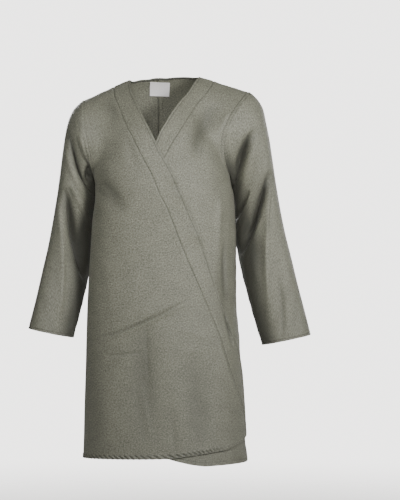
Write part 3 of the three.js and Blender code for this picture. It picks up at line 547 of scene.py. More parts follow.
@dataclass
class ClothGrid:
    """The two faces of a piece of cloth as grids of points, with what its finish needs.

    Attributes:
        outer: Outer points, columns first.
        inner: Inner points.
        normal: Outward normals.
        across: Distances across the cloth, for its weave.
        along: Distances along the cloth.
        edge: Distances to the nearest turned edge.
        painted_shade: How much painted shade each place takes, from 0 to 1: in the trough of a fold, and on
            a sleeve's side towards the body.
        line: How dark each place is from a seam or stitched line, and from painted shade in a rolled hem's
            grooves and along a turned edge's rim.
        closed: Whether the last column joins the first one.
        flip: Whether the grid runs the other way round.
    """

    outer: Array
    inner: Array
    normal: Array
    across: Array
    along: Array
    edge: Array
    painted_shade: Array
    line: Array
    closed: bool = False
    flip: bool = False

    def quads(self) -> Array:
        """Gives the faces of both sides and of the rims between them, as rows of four point numbers."""
        columns, rows = self.outer.shape[:2]
        count = columns * rows
        i = np.arange(columns if self.closed else columns - 1)
        j = np.arange(rows - 1)
        first = i[:, None] * rows
        second = ((i + 1) % columns)[:, None] * rows
        outer = np.stack([first + j, second + j, second + j + 1, first + j + 1], -1).reshape(-1, 4)
        low = np.stack([first[:, 0], second[:, 0]], -1)
        high = low + rows - 1
        faces = [outer, outer[:, ::-1] + count]
        faces.append(np.stack([low[:, 0] + count, low[:, 1] + count, low[:, 1], low[:, 0]], -1))
        faces.append(np.stack([high[:, 0], high[:, 1], high[:, 1] + count, high[:, 0] + count], -1))
        if not self.closed:
            end = (columns - 1) * rows + j
            faces.append(np.stack([j, j + 1, j + 1 + count, j + count], -1))
            faces.append(np.stack([end + count, end + 1 + count, end + 1, end], -1))
        quads = np.concatenate(faces)
        return quads[:, ::-1] if self.flip else quads

    def area(self) -> float:
        """Gives the outer face's area in square metres."""
        d1 = self.outer[1:, 1:] - self.outer[:-1, :-1]
        d2 = self.outer[:-1, 1:] - self.outer[1:, :-1]
        total = np.linalg.norm(np.cross(d1, d2), axis=-1).sum() / 2
        if self.closed:
            d1 = self.outer[0, 1:] - self.outer[-1, :-1]
            d2 = self.outer[-1, 1:] - self.outer[0, :-1]
            total += np.linalg.norm(np.cross(d1, d2), axis=-1).sum() / 2
        return float(total) * MM * MM

    def build(self, name: str, material: bpy.types.Material) -> bpy.types.Object:
        """Makes the closed wall of cloth as an object, with its weave's UV map, its wear, its seam lines
        and its painted shade.
        """
        points = np.concatenate([self.outer.reshape(-1, 3), self.inner.reshape(-1, 3)]) * MM
        quads = self.quads()
        mesh = bpy.data.meshes.new(name)
        mesh.from_pydata(points.tolist(), [], quads.tolist())
        layer = mesh.uv_layers.new(name="cloth")
        flat = np.stack([self.across.ravel(), self.along.ravel()], -1) * MM
        flat = np.concatenate([flat, flat])
        corners = np.empty(len(mesh.loops), np.int32)
        mesh.loops.foreach_get("vertex_index", corners)
        uv = flat[corners].reshape(-1, 4, 2)
        if self.closed:
            width = float(self.across.max()) * MM
            wraps = uv[:, :, 0].max(1, keepdims=True) - uv[:, :, 0] > width / 2
            uv[:, :, 0] += wraps * width
        layer.data.foreach_set("uv", uv.ravel())
        wear = np.exp(-self.edge.ravel() / 2.4)
        line, painted_shade = np.clip(self.line.ravel(), 0, 1), np.clip(self.painted_shade.ravel(), 0, 1)
        for kind, values in (("worn", wear), ("line", line), ("painted_shade", painted_shade)):
            layer = mesh.attributes.new(kind, "FLOAT", "POINT")
            layer.data.foreach_set("value", np.concatenate([values, values]))
        mesh.materials.append(material)
        mesh.validate()
        piece = add_object(name, mesh)
        select_only(piece)
        bpy.ops.object.shade_smooth_by_angle(angle=math.radians(SMOOTH_BELOW))
        return piece


def add_object(name: str, data: bpy.types.ID) -> bpy.types.Object:
    """Adds an object to the scene."""
    added = bpy.data.objects.new(name, data)
    bpy.context.scene.collection.objects.link(added)
    return added


def deselect_all() -> None:
    """Deselects everything."""
    for other in bpy.context.selected_objects:
        other.select_set(False)


def select_only(piece: bpy.types.Object) -> None:
    """Selects one object and makes it the active one."""
    deselect_all()
    piece.select_set(True)
    bpy.context.view_layer.objects.active = piece


NEAR_SEAM = (0.0, 0.9, 1.9, 3.2, 5.0, 6.6, 7.9, 8.8, 9.7, 11.2, 14.0, 18.0)
NEAR_EDGE = (0.0, 0.25, 0.7, 1.4, 2.6, 4.0, 5.3, 6.2, 7.1, 8.4, 9.8, 11.2, 13.8, 18.0)
NEAR_OPEN_SEAM = (0.0, 0.9, 1.9, 3.2, 5.0, 7.2, 9.4, 11.4, 12.1, 12.9, 14.5, 18.0)
STITCH_AT = {Border.STITCHED: 8.8, Border.EDGE: 6.2, Border.PLAIN: 9.8, Border.ROPED: 9.8}
FAR = 1e3
# Painted shade: a fold's trough is darkened in full at this depth.
FULL_SHADE_DEPTH = 15.0  # depth of a fold that is as dark as it gets
ROPE_PITCH = 11.2
ROPE_STRETCH = 7.0
ROPE_SLANT = 11.0
BAND_CLOTH = 2.6  # wall of a front band, which is cloth and facing
TURNED_CLOTH = 0.9
HEM_TURNING = (10.2, 12.2)  # where the cloth turned in at a hem or cuff ends
SEAM_TURNING = (11.8, 12.8)  # and beside an open seam
COAT_LENGTH = 1000.0  # least length by which a panel's rows are counted
SLEEVE_LENGTH = 640.0
SMOOTH_BELOW = 50.0  # angle between faces, in degrees
LEVEL_ROUNDS = 8  # rounds of finding where a column ends
FINE_STEPS = 160  # points of a column before it is divided
FINER_BLEND = 15.0  # length over which the rows draw closer
BORDER_SHIFT = 137  # between the puckers of a panel's four borders
UNDERARM_SHIFT = 91
CUFF_SHIFT = 23
EASED_HALF_HEIGHT = 34.0  # of the stretch round the armpit's height that is eased
CALM_BELOW = 18.0  # the armholes' puckers are calmed this far below the armpit
CALM_HALF_HEIGHT = 54.0
CALM_HEIGHT = 0.5  # height of the cloth where its puckers are calmed
OVERLAP_RISE = 5.2
BAND_RAISE = 0.4  # how far a band stands above the panel that it is sewn to
TURNED_BORDERS = (Border.EDGE, Border.PLAIN, Border.ROPED)


def near(border: Border) -> Array:
    """Gives the distances from a border at which points stand close together."""
    if border in (Border.SEAM, Border.STITCHED):
        return np.array(NEAR_SEAM)
    if border is Border.OPEN_SEAM:
        return np.array(NEAR_OPEN_SEAM)
    return np.array(NEAR_EDGE)


def spread(
    length: float, start: Array, end: Array, count: int, finer: Optional[Triple] = None
) -> Array:
    """Places points along a length, close together at its two ends.

    Args:
        length: The length.
        start: Distances from its start.
        end: Distances from its end.
        count: How many steps lie between these.
        finer: Where the steps are shorter: from and to which distance, and how many times, or None.

    Returns:
        Distances from the start.
    """
    taken = (start[-1] if len(start) else 0.0) + (end[-1] if len(end) else 0.0)
    fit = min(1.0, 0.8 * length / taken) if taken else 1.0
    low = start[-1] * fit if len(start) else 0.0
    high = length - (end[-1] * fit if len(end) else 0.0)
    middle = np.linspace(low, high, count + 1)
    if finer is not None:
        near_from, near_to, times = finer
        within = smoothstep(middle, near_from - FINER_BLEND, near_from)
        within = within * (1 - smoothstep(middle, near_to, near_to + FINER_BLEND))
        total = np.concatenate([[0.0], np.cumsum(1 + (times - 1) * (within[1:] + within[:-1]) / 2)])
        middle = np.interp(np.linspace(0, total[-1], count + 1), total, middle)
    parts = [start[:-1] * fit, middle, (length - end * fit)[::-1][1:]]
    return np.concatenate(parts)


def rope_groove(off: Array, along: Array) -> Array:
    """Gives how deep the rolled hem's slanting grooves are, from 0 to 1.

    Args:
        off: Distances from the hem.
        along: Places along the hem, from the side seam on.

    Returns:
        Shares of the full depth.
    """
    turns = along / ROPE_PITCH - ROPE_STRETCH * smoothstep(along, 90, 420) + 0.3 * np.sin(along / 33)
    groove = np.abs(np.mod(turns + off / ROPE_SLANT, 1.0) - 0.5) * 2
    inside = smoothstep(off, 0.0, 1.6) * (1 - smoothstep(off, 9.0, 12.0))
    fading = (0.9 + 0.1 * np.sin(along / 57)) * (1 - 0.8 * smoothstep(along, 410, 480))
    return (1 - smoothstep(groove, 0.0, 0.72)) * inside * fading


def border_line_and_shade(border: Border, off: Array, along: Array) -> Array:
    """Gives how dark a border's seam or stitched line is, from 0 to 1, with painted shade in hem grooves
    and edge rims.
    """
    if border is Border.ROPED:
        # Painted shade in the rolled hem's grooves.
        return rope_groove(off, along) ** 0.8
    line = np.zeros_like(off)
    uneven = 0.8 + 0.2 * np.sin(along / 31 + 1.2 * np.sin(along / 83))
    if border in (Border.SEAM, Border.STITCHED, Border.OPEN_SEAM):
        line = 0.46 * np.exp(-((off / 1.3) ** 2))
    if border in (Border.STITCHED, Border.EDGE, Border.PLAIN):
        strength = 0.25 if border is Border.PLAIN else 0.44
        line = line + strength * np.exp(-(((off - STITCH_AT[border]) / 0.95) ** 2))
    # Painted shade along the rim of a turned edge.
    if border is Border.EDGE:
        line = line + 0.5 * np.exp(-((off / 0.9) ** 2))
    return line * uneven


def border_relief(border: Border, off: Array, along: Array, shift: float) -> Array:
    """Gives the height of the cloth near a border.

    Args:
        border: How the panel ends there.
        off: Distances from the border.
        along: Places along the border.
        shift: Where this border starts in the table of puckers.

    Returns:
        Heights in millimetres.
    """
    if border in (Border.SEAM, Border.STITCHED, Border.OPEN_SEAM):
        height = 0.35 * (1 - smoothstep(off, 8.5, 13)) - 1.15 * np.exp(-((off / 1.7) ** 2))
        height += pucker_height(along, off, shift)
        if border is Border.STITCHED:
            height -= 0.9 * np.exp(-(((off - STITCH_AT[border]) / 1.5) ** 2))
        return height
    if border is Border.ROPED:
        return 1.3 * (1 - smoothstep(off, 9.5, 12.5)) - 3.2 * rope_groove(off, along)
    height = 0.4 * (1 - smoothstep(off, 7.5, 10.0))
    height += 0.55 * pucker_height(along, off, shift)
    if border is Border.EDGE:
        height -= 0.9 * np.exp(-(((off - STITCH_AT[border]) / 1.5) ** 2))
    return height


def turned_in(off: Array, ends: tuple[float, float] = HEM_TURNING) -> Array:
    """Gives how much thicker the cloth is at distances from an edge that is turned in."""
    return TURNED_CLOTH * (1 - smoothstep(off, *ends))


def edge_waves(border: Border, off: Array, along: Array, shift: float) -> Array:
    """Gives the slight wave of a free edge."""
    if border in (Border.SEAM, Border.STITCHED, Border.OPEN_SEAM):
        return np.zeros_like(off)
    wave = 0.2 * np.sin(along / 29 + shift) + 0.3 * np.sin(along / 61 + 2 * shift)
    return wave * np.exp(-off / 14)


def rim(outer: Array, inner: Array, off: Array) -> tuple[Array, Array]:
    """Rounds a free edge: both faces close in on the middle of the cloth over half its thickness."""
    half = np.linalg.norm(outer - inner, axis=-1) / 2
    share = np.clip(1 - off / np.maximum(half, 1e-6), 0, 1)
    keep = np.maximum(np.sqrt(np.maximum(0, 1 - share**2)), 0.25)[..., None]
    middle = (outer + inner) / 2
    return middle + (outer - middle) * keep, middle + (inner - middle) * keep


@dataclass
class BodyPanel:
    """One panel or band of the coat's body, cut between two lines and sewn or turned in on each side.

    Attributes:
        name: Name of the piece.
        node: Name of the solid that it stands for.
        side: Side of the armhole that it lies on.
        start: Turn of its first line, by level.
        end: Turn of its last line, by level.
        hem: Height of its hem, by turn.
        borders: How its first line, last line, hem and top end.
        layer: Height off the body, from the turn, the level and the share of the way across.
        folds: Its folds and creases.
        cloth: Thickness of its wall.
        shift: Where its seams start in the table of puckers.
        step_across: Distance between its columns.
        step_along: Distance between its rows.
        neck: Turn of the neck point, where a back's top leaves the shoulder seam.
        neck_line: Level of a back's neck edge, by turn.
        finer: Where the rows stand closer: from and to which distance above the hem, and how
            many times.
        marked: How dark its seams, stitched lines and painted shade of hem grooves and edge rims are.
        levels: Levels at which its columns are found.
    """

    name: str
    node: str
    side: Side
    start: LineOnBody
    end: LineOnBody
    hem: Curve
    borders: tuple[Border, Border, Border, Border]
    layer: Callable[[Array, Array, Array], Array]
    folds: Table
    cloth: float = 2.0
    shift: float = 0.0
    step_across: float = 3.2
    step_along: float = 5.6
    neck: Optional[float] = None
    neck_line: Optional[Curve] = None
    finer: Optional[Triple] = None
    marked: float = 1.0
    levels: Array = field(default_factory=lambda: np.linspace(-1.0, 1.0, 181))

    def column_turns(self) -> Array:
        """Gives the turn of each column at each of the panel's levels."""
        first, last = near(self.borders[0]), near(self.borders[1])
        shares = np.linspace(0, 1, 33)
        start, end = self.start(self.levels), self.end(self.levels)
        tables, widths = [], []
        for level, low, high in zip(self.levels, start, end):
            turns = lerp(low, high, shares)
            length = arc_lengths(FIGURE.point(turns, np.full_like(turns, level), self.side))
            tables.append((turns, length))
            widths.append(length[-1])
        if self.neck is None:
            count = max(4, round((max(widths) - first[-1] - last[-1]) / self.step_across))
            return np.array([
                np.interp(spread(length[-1], first, last, count), length, turns) for turns, length in tables
            ])
        none = np.array([])
        rows = []
        steps = (32, 44) if self.borders[0] is Border.OPEN_SEAM else (44, 32)
        for turns, length in tables:
            split = np.interp(self.neck, turns, length)
            inner = spread(split, first, none, steps[0])
            outer = split + spread(length[-1] - split, none, last, steps[1])[1:]
            rows.append(np.interp(np.concatenate([inner, outer]), length, turns))
        return np.array(rows)

    def top_level(self, turn: float) -> float:
        """Gives the level of a column's top."""
        if self.neck is None:
            return 1.0
        past = turn > self.neck + 1e-6 if self.borders[1] is Border.OPEN_SEAM else turn < self.neck - 1e-6
        return float(self.neck_line(np.array(turn))) if past else 1.0

    def places(self) -> tuple[Array, Array]:
        """Gives the turns and levels of the panel's points, columns first."""
        low, high = near(self.borders[2]), near(self.borders[3])
        turns, levels = [], []
        for column in self.column_turns().T:
            bottom, top = -1.0, 1.0
            for _ in range(LEVEL_ROUNDS):
                turn = np.interp(bottom, self.levels, column)
                bottom = (float(self.hem(turn)) - FIGURE.armpit_z) / FIGURE.skirt_drop
                top = self.top_level(float(np.interp(top, self.levels, column)))
            fine = np.linspace(bottom, top, FINE_STEPS)
            length = arc_lengths(FIGURE.point(np.interp(fine, self.levels, column), fine, self.side))
            if not levels:
                count = round((max(COAT_LENGTH, length[-1]) - low[-1] - high[-1]) / self.step_along)
            level = np.interp(spread(length[-1], low, high, count, self.finer), length, fine)
            levels.append(level)
            turns.append(np.interp(level, self.levels, column))
        return np.array(turns), np.array(levels)

    def grid(self) -> ClothGrid:
        """Makes the panel's two faces."""
        turns, levels = self.places()
        base = self.eased(FIGURE.point(turns, levels, self.side), turns)
        normal = grid_normals(base, flip=False)
        across = arc_lengths(base.swapaxes(0, 1)).swapaxes(0, 1)
        along = arc_lengths(base)
        first, last = across, across[-1:, :] - across
        bottom, top = along, along[:, -1:] - along
        taper = smoothstep(from_side(turns), 0.02, 0.14) * smoothstep(levels[:, -1:] - levels, 0, 0.12)
        x, z = base[..., 0], base[..., 2]
        share = first / np.maximum(first + last, 1e-6)
        height = self.layer(turns, levels, share)
        folds = taper * fold_height(self.folds, x, z)
        height = height + folds + taper * unevenness(x, z)
        edge = np.full(first.shape, FAR)
        line = np.zeros(first.shape)
        past = self.past_neck(base)
        calm = 1 - 0.95 * np.exp(-(((z - FIGURE.armpit_z + CALM_BELOW) / CALM_HALF_HEIGHT) ** 2))
        by_border = ((first, along), (last, along), (bottom, across), (top, across))
        for k, (border, (off, by)) in enumerate(zip(self.borders, by_border)):
            relief = border_relief(border, off, by, self.shift + BORDER_SHIFT * k)
            if border is Border.STITCHED:
                relief = lerp(np.full_like(relief, CALM_HEIGHT), relief, calm)
            line = np.maximum(line, self.marked * border_line_and_shade(border, off, by))
            if k == 3 and self.neck is not None:
                relief = lerp(relief, border_relief(Border.PLAIN, off, by, self.shift), past)
                edge = np.minimum(edge, off + FAR * (past < 0.5))
            height = height + relief + edge_waves(border, off, by, self.shift + k)
            if border in TURNED_BORDERS:
                edge = np.minimum(edge, off)
        outer = base + normal * height[..., None]
        surface = grid_normals(outer, flip=False)
        thick = self.thickness(first, last, bottom)
        inner = outer - unit(normal + surface) * thick[..., None]
        outer, inner = rim(outer, inner, edge)
        middle = len(across) // 2
        across = across - across[middle:middle + 1, :] + float(across[middle, -1])
        # The troughs of the folds take painted shade by their depth.
        return ClothGrid(outer, inner, surface, across, along, edge, -folds / FULL_SHADE_DEPTH, line)

    def past_neck(self, points: Array) -> Array:
        """Gives how far each column lies past the neck point, from 0 on the shoulder seam to 1."""
        if self.neck is None:
            return np.zeros(points.shape[:1] + (1,))
        point = FIGURE.point(np.array(self.neck), np.array(1.0), self.side)
        inward = np.sign(FIGURE.centre_back_x - point[0])
        return smoothstep(inward * (points[:, -1, 0] - point[0]), 0.0, 9.0)[:, None]

    def eased(self, points: Array, turns: Array) -> Array:
        """Eases the body's line through the armpit's height, away from the sides."""
        kernel = np.exp(-np.linspace(-1.6, 1.6, 9) ** 2)
        kernel /= kernel.sum()
        pad = np.pad(points, ((0, 0), (4, 4), (0, 0)), mode="edge")
        smooth = sum(weight * pad[:, k:k + points.shape[1]] for k, weight in enumerate(kernel))
        window = np.exp(-(((points[..., 2] - FIGURE.armpit_z) / EASED_HALF_HEIGHT) ** 2))
        window *= smoothstep(from_side(turns), 0.05, 0.25)
        return lerp(points, smooth, window[..., None])

    def thickness(self, first: Array, last: Array, bottom: Array) -> Array:
        """Gives the wall's thickness, with turned-in cloth at the hem and beside an open seam."""
        turned = turned_in(bottom)
        for border, off in zip(self.borders, (first, last)):
            if border is Border.OPEN_SEAM:
                turned = np.maximum(turned, turned_in(off, SEAM_TURNING))
        return self.cloth + turned

    def stitch_route(self, grid: ClothGrid, which: int) -> tuple[Array, Array]:
        """Gives the points and normals of the stitched line beside a side or the hem, by its number."""
        border = self.borders[which]
        at = int(np.argmin(np.abs(near(border) - STITCH_AT[border])))
        picked = (at, -1 - at, (slice(None), at))[which]
        return grid.outer[picked], grid.normal[picked]


@dataclass
class Sleeve:
    """A set-in sleeve, a tube from the armhole to the turned-in cuff.

    Attributes:
        name: Name of the piece.
        node: Name of the solid that it stands for.
        form: Its form.
        is_left: Whether it is the wearer's left sleeve.
        front_folds: Folds that show from the front.
        tucks: Folds with one steep side that show from the front.
        back_folds: Folds that show from behind.
        shift: Where its seams start in the table of puckers.
        cloth: Thickness of its wall.
        columns: Number of its columns.
        step_along: Distance between its rows.
        tuck: How far its top draws in towards the body.
        nestle: How far the side beside the body draws in below the armpit.
        inner_shade: How dark the painted shade on that side is.
        dark_z: Height at which the painted shade reaches furthest round.
        dark_half_height: Half the height of that stretch.
        dark_reach: How far round it reaches there.
    """

    name: str
    node: str
    form: SleeveForm
    is_left: bool
    front_folds: Table
    tucks: Table
    back_folds: Table
    shift: float = 0.0
    cloth: float = 2.0
    columns: int = 180
    step_along: float = 3.6
    tuck: float = 0.4
    nestle: float = 3.0
    inner_shade: float = 1.0
    dark_z: float = -410.0
    dark_half_height: float = 90.0
    dark_reach: float = 0.4

    def grid(self) -> ClothGrid:
        """Makes the sleeve's two faces."""
        angles = np.linspace(np.pi, -np.pi, self.columns, endpoint=False)
        fine = np.linspace(0, 1, FINE_STEPS)
        top, cuff = near(Border.SEAM), near(Border.EDGE)
        alongs = []
        count = round(SLEEVE_LENGTH / self.step_along)
        for angle in angles:
            length = arc_lengths(self.form.ring(fine, np.full_like(fine, angle)))
            alongs.append(np.interp(spread(length[-1], top, cuff, count), length, fine))
        alongs = np.array(alongs)
        angle = np.broadcast_to(angles[:, None], alongs.shape)
        base = self.form.ring(alongs, angle)
        normal = grid_normals(base, flip=self.is_left, closed=True)
        outward = 1 if self.is_left else -1
        base = base.copy()
        base[..., 0] -= outward * self.tuck * np.exp(-((alongs / 0.003) ** 2))
        beside = smoothstep(alongs, 0.0, 0.05) * (1 - smoothstep(alongs, 0.3, 0.45))
        base[..., 0] -= outward * self.nestle * beside * smoothstep(-np.cos(angle), 0.75, 1.0)
        down = arc_lengths(base)
        to_cuff = down[:, -1:] - down
        round_steps = np.linalg.norm(np.roll(base, -1, 0) - base, axis=-1)
        around = np.cumsum(round_steps, 0) - round_steps
        girth = round_steps.sum(0, keepdims=True)
        x, z = base[..., 0], base[..., 2]
        taper = smoothstep(alongs, 0, 0.05) * np.abs(np.sin(angle)) ** 0.7
        front = np.sin(angle) >= 0
        ahead = fold_height(self.front_folds, x, z) + fold_height(self.tucks, x, z)
        folds = np.where(front, ahead, fold_height(self.back_folds, x, z))
        height = taper * (folds + 0.8 * unevenness(x + 300, z))
        seam_off = np.minimum(around, girth - around)
        calm = 1 - 0.9 * smoothstep(-np.cos(angle), 0.8, 0.97)
        height = height + calm * border_relief(Border.SEAM, down, around, self.shift)
        seam_relief = border_relief(Border.SEAM, seam_off, down, self.shift + UNDERARM_SHIFT)
        height = height + seam_relief * smoothstep(down, 70, 190)
        height = height + border_relief(Border.EDGE, to_cuff, around, self.shift + CUFF_SHIFT)
        height = height + edge_waves(Border.EDGE, to_cuff, around, self.shift)
        outer = base + normal * height[..., None]
        surface = grid_normals(outer, flip=self.is_left, closed=True)
        inner = outer - unit(normal + surface) * (self.cloth + turned_in(to_cuff))[..., None]
        outer, inner = rim(outer, inner, to_cuff)
        share = around / girth * girth.mean()
        line = border_line_and_shade(Border.EDGE, to_cuff, around)
        line = np.maximum(line, border_line_and_shade(Border.SEAM, down, around))
        line = np.maximum(line, 0.5 * border_line_and_shade(Border.SEAM, seam_off, down))
        # Painted shade on the side towards the body, reaching furthest round near dark_z, and in the folds'
        # troughs by their depth.
        reach = self.dark_reach * np.exp(-(((z - self.dark_z) / self.dark_half_height) ** 2))
        inside = self.inner_shade * smoothstep(reach - np.cos(angle), 0.15, 0.85)
        painted_shade = np.maximum(-taper * folds / FULL_SHADE_DEPTH, inside)
        return ClothGrid(
            outer, inner, surface, share, -down, to_cuff, painted_shade, line, closed=True, flip=self.is_left
        )

    def cuff_route(self, grid: ClothGrid) -> tuple[Array, Array]:
        """Gives the points and normals of the line of stitches above the cuff's edge."""
        at = int(np.argmin(np.abs(near(Border.EDGE) - STITCH_AT[Border.EDGE])))
        points, normals = grid.outer[:, -1 - at], grid.normal[:, -1 - at]
        return np.concatenate([points, points[:1]]), np.concatenate([normals, normals[:1]])


@dataclass(frozen=True)
class StitchRow:
    """A row of stitches, each a short bead of thread that dips into the cloth at both ends.

    Attributes:
        name: Name of the piece.
        pitch: Distance from one stitch to the next.
        length: Length of a stitch that shows.
        thread: Thickness of the thread.
    """

    name: str
    pitch: float = 4.2
    length: float = 3.0
    thread: float = 0.95

    def model(self) -> tuple[Array, list[list[int]]]:
        """Models one stitch as a stretched ball of few faces and gives its points and faces."""
        deselect_all()
        bpy.ops.mesh.primitive_uv_sphere_add(segments=6, ring_count=4, radius=0.5, location=(0, 0, 0))
        ball = bpy.context.object
        points = np.array([vertex.co for vertex in ball.data.vertices], float)[:, [2, 0, 1]]
        faces = [list(face.vertices) for face in ball.data.polygons]
        mesh = ball.data
        bpy.data.objects.remove(ball)
        bpy.data.meshes.remove(mesh)
        points *= (self.length, self.thread, self.thread * 0.7)
        return points, faces

    def build(
        self, routes: Sequence[tuple[Array, Array]], material: bpy.types.Material
    ) -> bpy.types.Object:
        """Lays the stitches along routes of points and normals, as one piece."""
        points, faces = self.model()
        all_points, all_faces = [], []
        for route, normals in routes:
            length = arc_lengths(route)
            places = np.arange(self.pitch, length[-1] - self.pitch, self.pitch)
            middle = along_line(places, length, route)
            up = unit(along_line(places, length, normals))
            ahead, before = (along_line(places + step, length, route) for step in (0.8, -0.8))
            forward = unit(ahead - before)
            aside = unit(np.cross(up, forward))
            for k in range(len(places)):
                start = len(all_points) * len(points)
                frame_of = np.stack([forward[k], aside[k], np.cross(forward[k], aside[k])])
                all_points.append(points @ frame_of + middle[k] + 0.1 * up[k])
                all_faces.extend([[start + v for v in face] for face in faces])
        mesh = bpy.data.meshes.new(self.name)
        mesh.from_pydata((np.concatenate(all_points) * MM).tolist(), [], all_faces)
        mesh.materials.append(material)
        mesh.polygons.foreach_set("use_smooth", [True] * len(mesh.polygons))
        return add_object(self.name, mesh)


@dataclass(frozen=True)
class NeckBinding:
    """The narrow binding along the inside of the back neck's edge."""

    width: float = 6.0
    inset: float = 0.5
    gap: float = 0.4
    cloth: float = 1.4
    steps: int = 120

    def grid(self, backs: Sequence[ClothGrid]) -> ClothGrid:
        """Makes the binding from the inner points of the two backs, given from the left one on."""
        lines = [column[::-1] for grid in backs for column in grid.inner]
        top, down = (
            np.array([along_line(place, arc_lengths(line), line) for line in lines])
            for place in (self.inset + self.cloth, self.inset + self.width)
        )
        return self.strip(top, down)

    def strip(self, top: Array, down: Array) -> ClothGrid:
        """Makes a rounded strip between two lines, on the side that faces the neck."""
        length = arc_lengths(top)
        places = np.linspace(0, length[-1], self.steps)
        top, down = along_line(places, length, top), along_line(places, length, down)
        ahead = unit(np.gradient(top, axis=0))
        inside = unit(np.cross(ahead, unit(down - top)))
        shares = np.array([0, 0.06, 0.16, 0.34, 0.5, 0.66, 0.84, 0.94, 1.0])
        base = top[:, None] + (down - top)[:, None] * shares[None, :, None]
        bulge = np.sqrt(np.maximum(0, 1 - (2 * shares - 1) ** 2)) * self.cloth
        ripple = 1 + 0.14 * np.sin(places / 7.3) + 0.1 * np.sin(places / 4.1 + 1)
        lift = self.gap + np.maximum(0.35, bulge[None, :] * ripple[:, None])
        outer = base + inside[:, None] * lift[..., None]
        inner = base + inside[:, None] * self.gap
        across = np.repeat(places[:, None], len(shares), axis=1)
        along = np.repeat(shares[None] * self.width, len(places), axis=0)
        edge = np.full(across.shape, FAR)
        normal = np.broadcast_to(inside[:, None], outer.shape)
        none = np.zeros(across.shape)
        return ClothGrid(outer, inner, normal, across, along, edge, none, none)


@dataclass(frozen=True)
class NeckLabel:
    """The blank woven label that hangs inside the back neck."""

    width: float = 55.0
    height: float = 37.0
    cloth: float = 0.9
    middle_x: float = -12.0
    top_z: float = 28.5
    off_back: float = 3.7
    tilt: float = 0.035
    columns: int = 44
    rows: int = 30

    def grid(self) -> ClothGrid:
        """Makes the label's two faces, slightly tilted and curled at its lower edge."""
        edge_steps = np.array([0, 0.25, 0.7, 1.4, 2.6])
        across = spread(self.width, edge_steps, edge_steps, self.columns)
        along = spread(self.height, edge_steps, edge_steps, self.rows)
        u, v = np.meshgrid(across, along, indexing="ij")
        x = self.middle_x + self.width / 2 - u + self.tilt * (v - self.height / 2)
        z = self.top_z - self.height + v + self.tilt * (u - self.width / 2)
        turn, level = FIGURE.locate(x, z, Side.BACK)
        base = FIGURE.point(turn, level, Side.BACK)
        normal = grid_normals(base, flip=False)
        share = 1 - v / self.height
        curl = 1.5 * share**3 * (0.7 + 0.3 * np.cos(u / self.width * 2 * np.pi))
        wave = 0.25 * np.sin(u / 6.4 + 1.0) * share
        outer = base - normal * (self.off_back + curl + wave)[..., None]
        folded = 0.25 * (1 - smoothstep(np.minimum(v, self.height - v), 2.8, 4.2))
        inner = outer - normal * (self.cloth + folded)[..., None]
        rim_off = np.minimum(np.minimum(u, self.width - u), np.minimum(v, self.height - v))
        outer, inner = rim(outer, inner, rim_off)
        return ClothGrid(outer, inner, normal, u, v, rim_off, np.zeros(u.shape), np.zeros(u.shape))


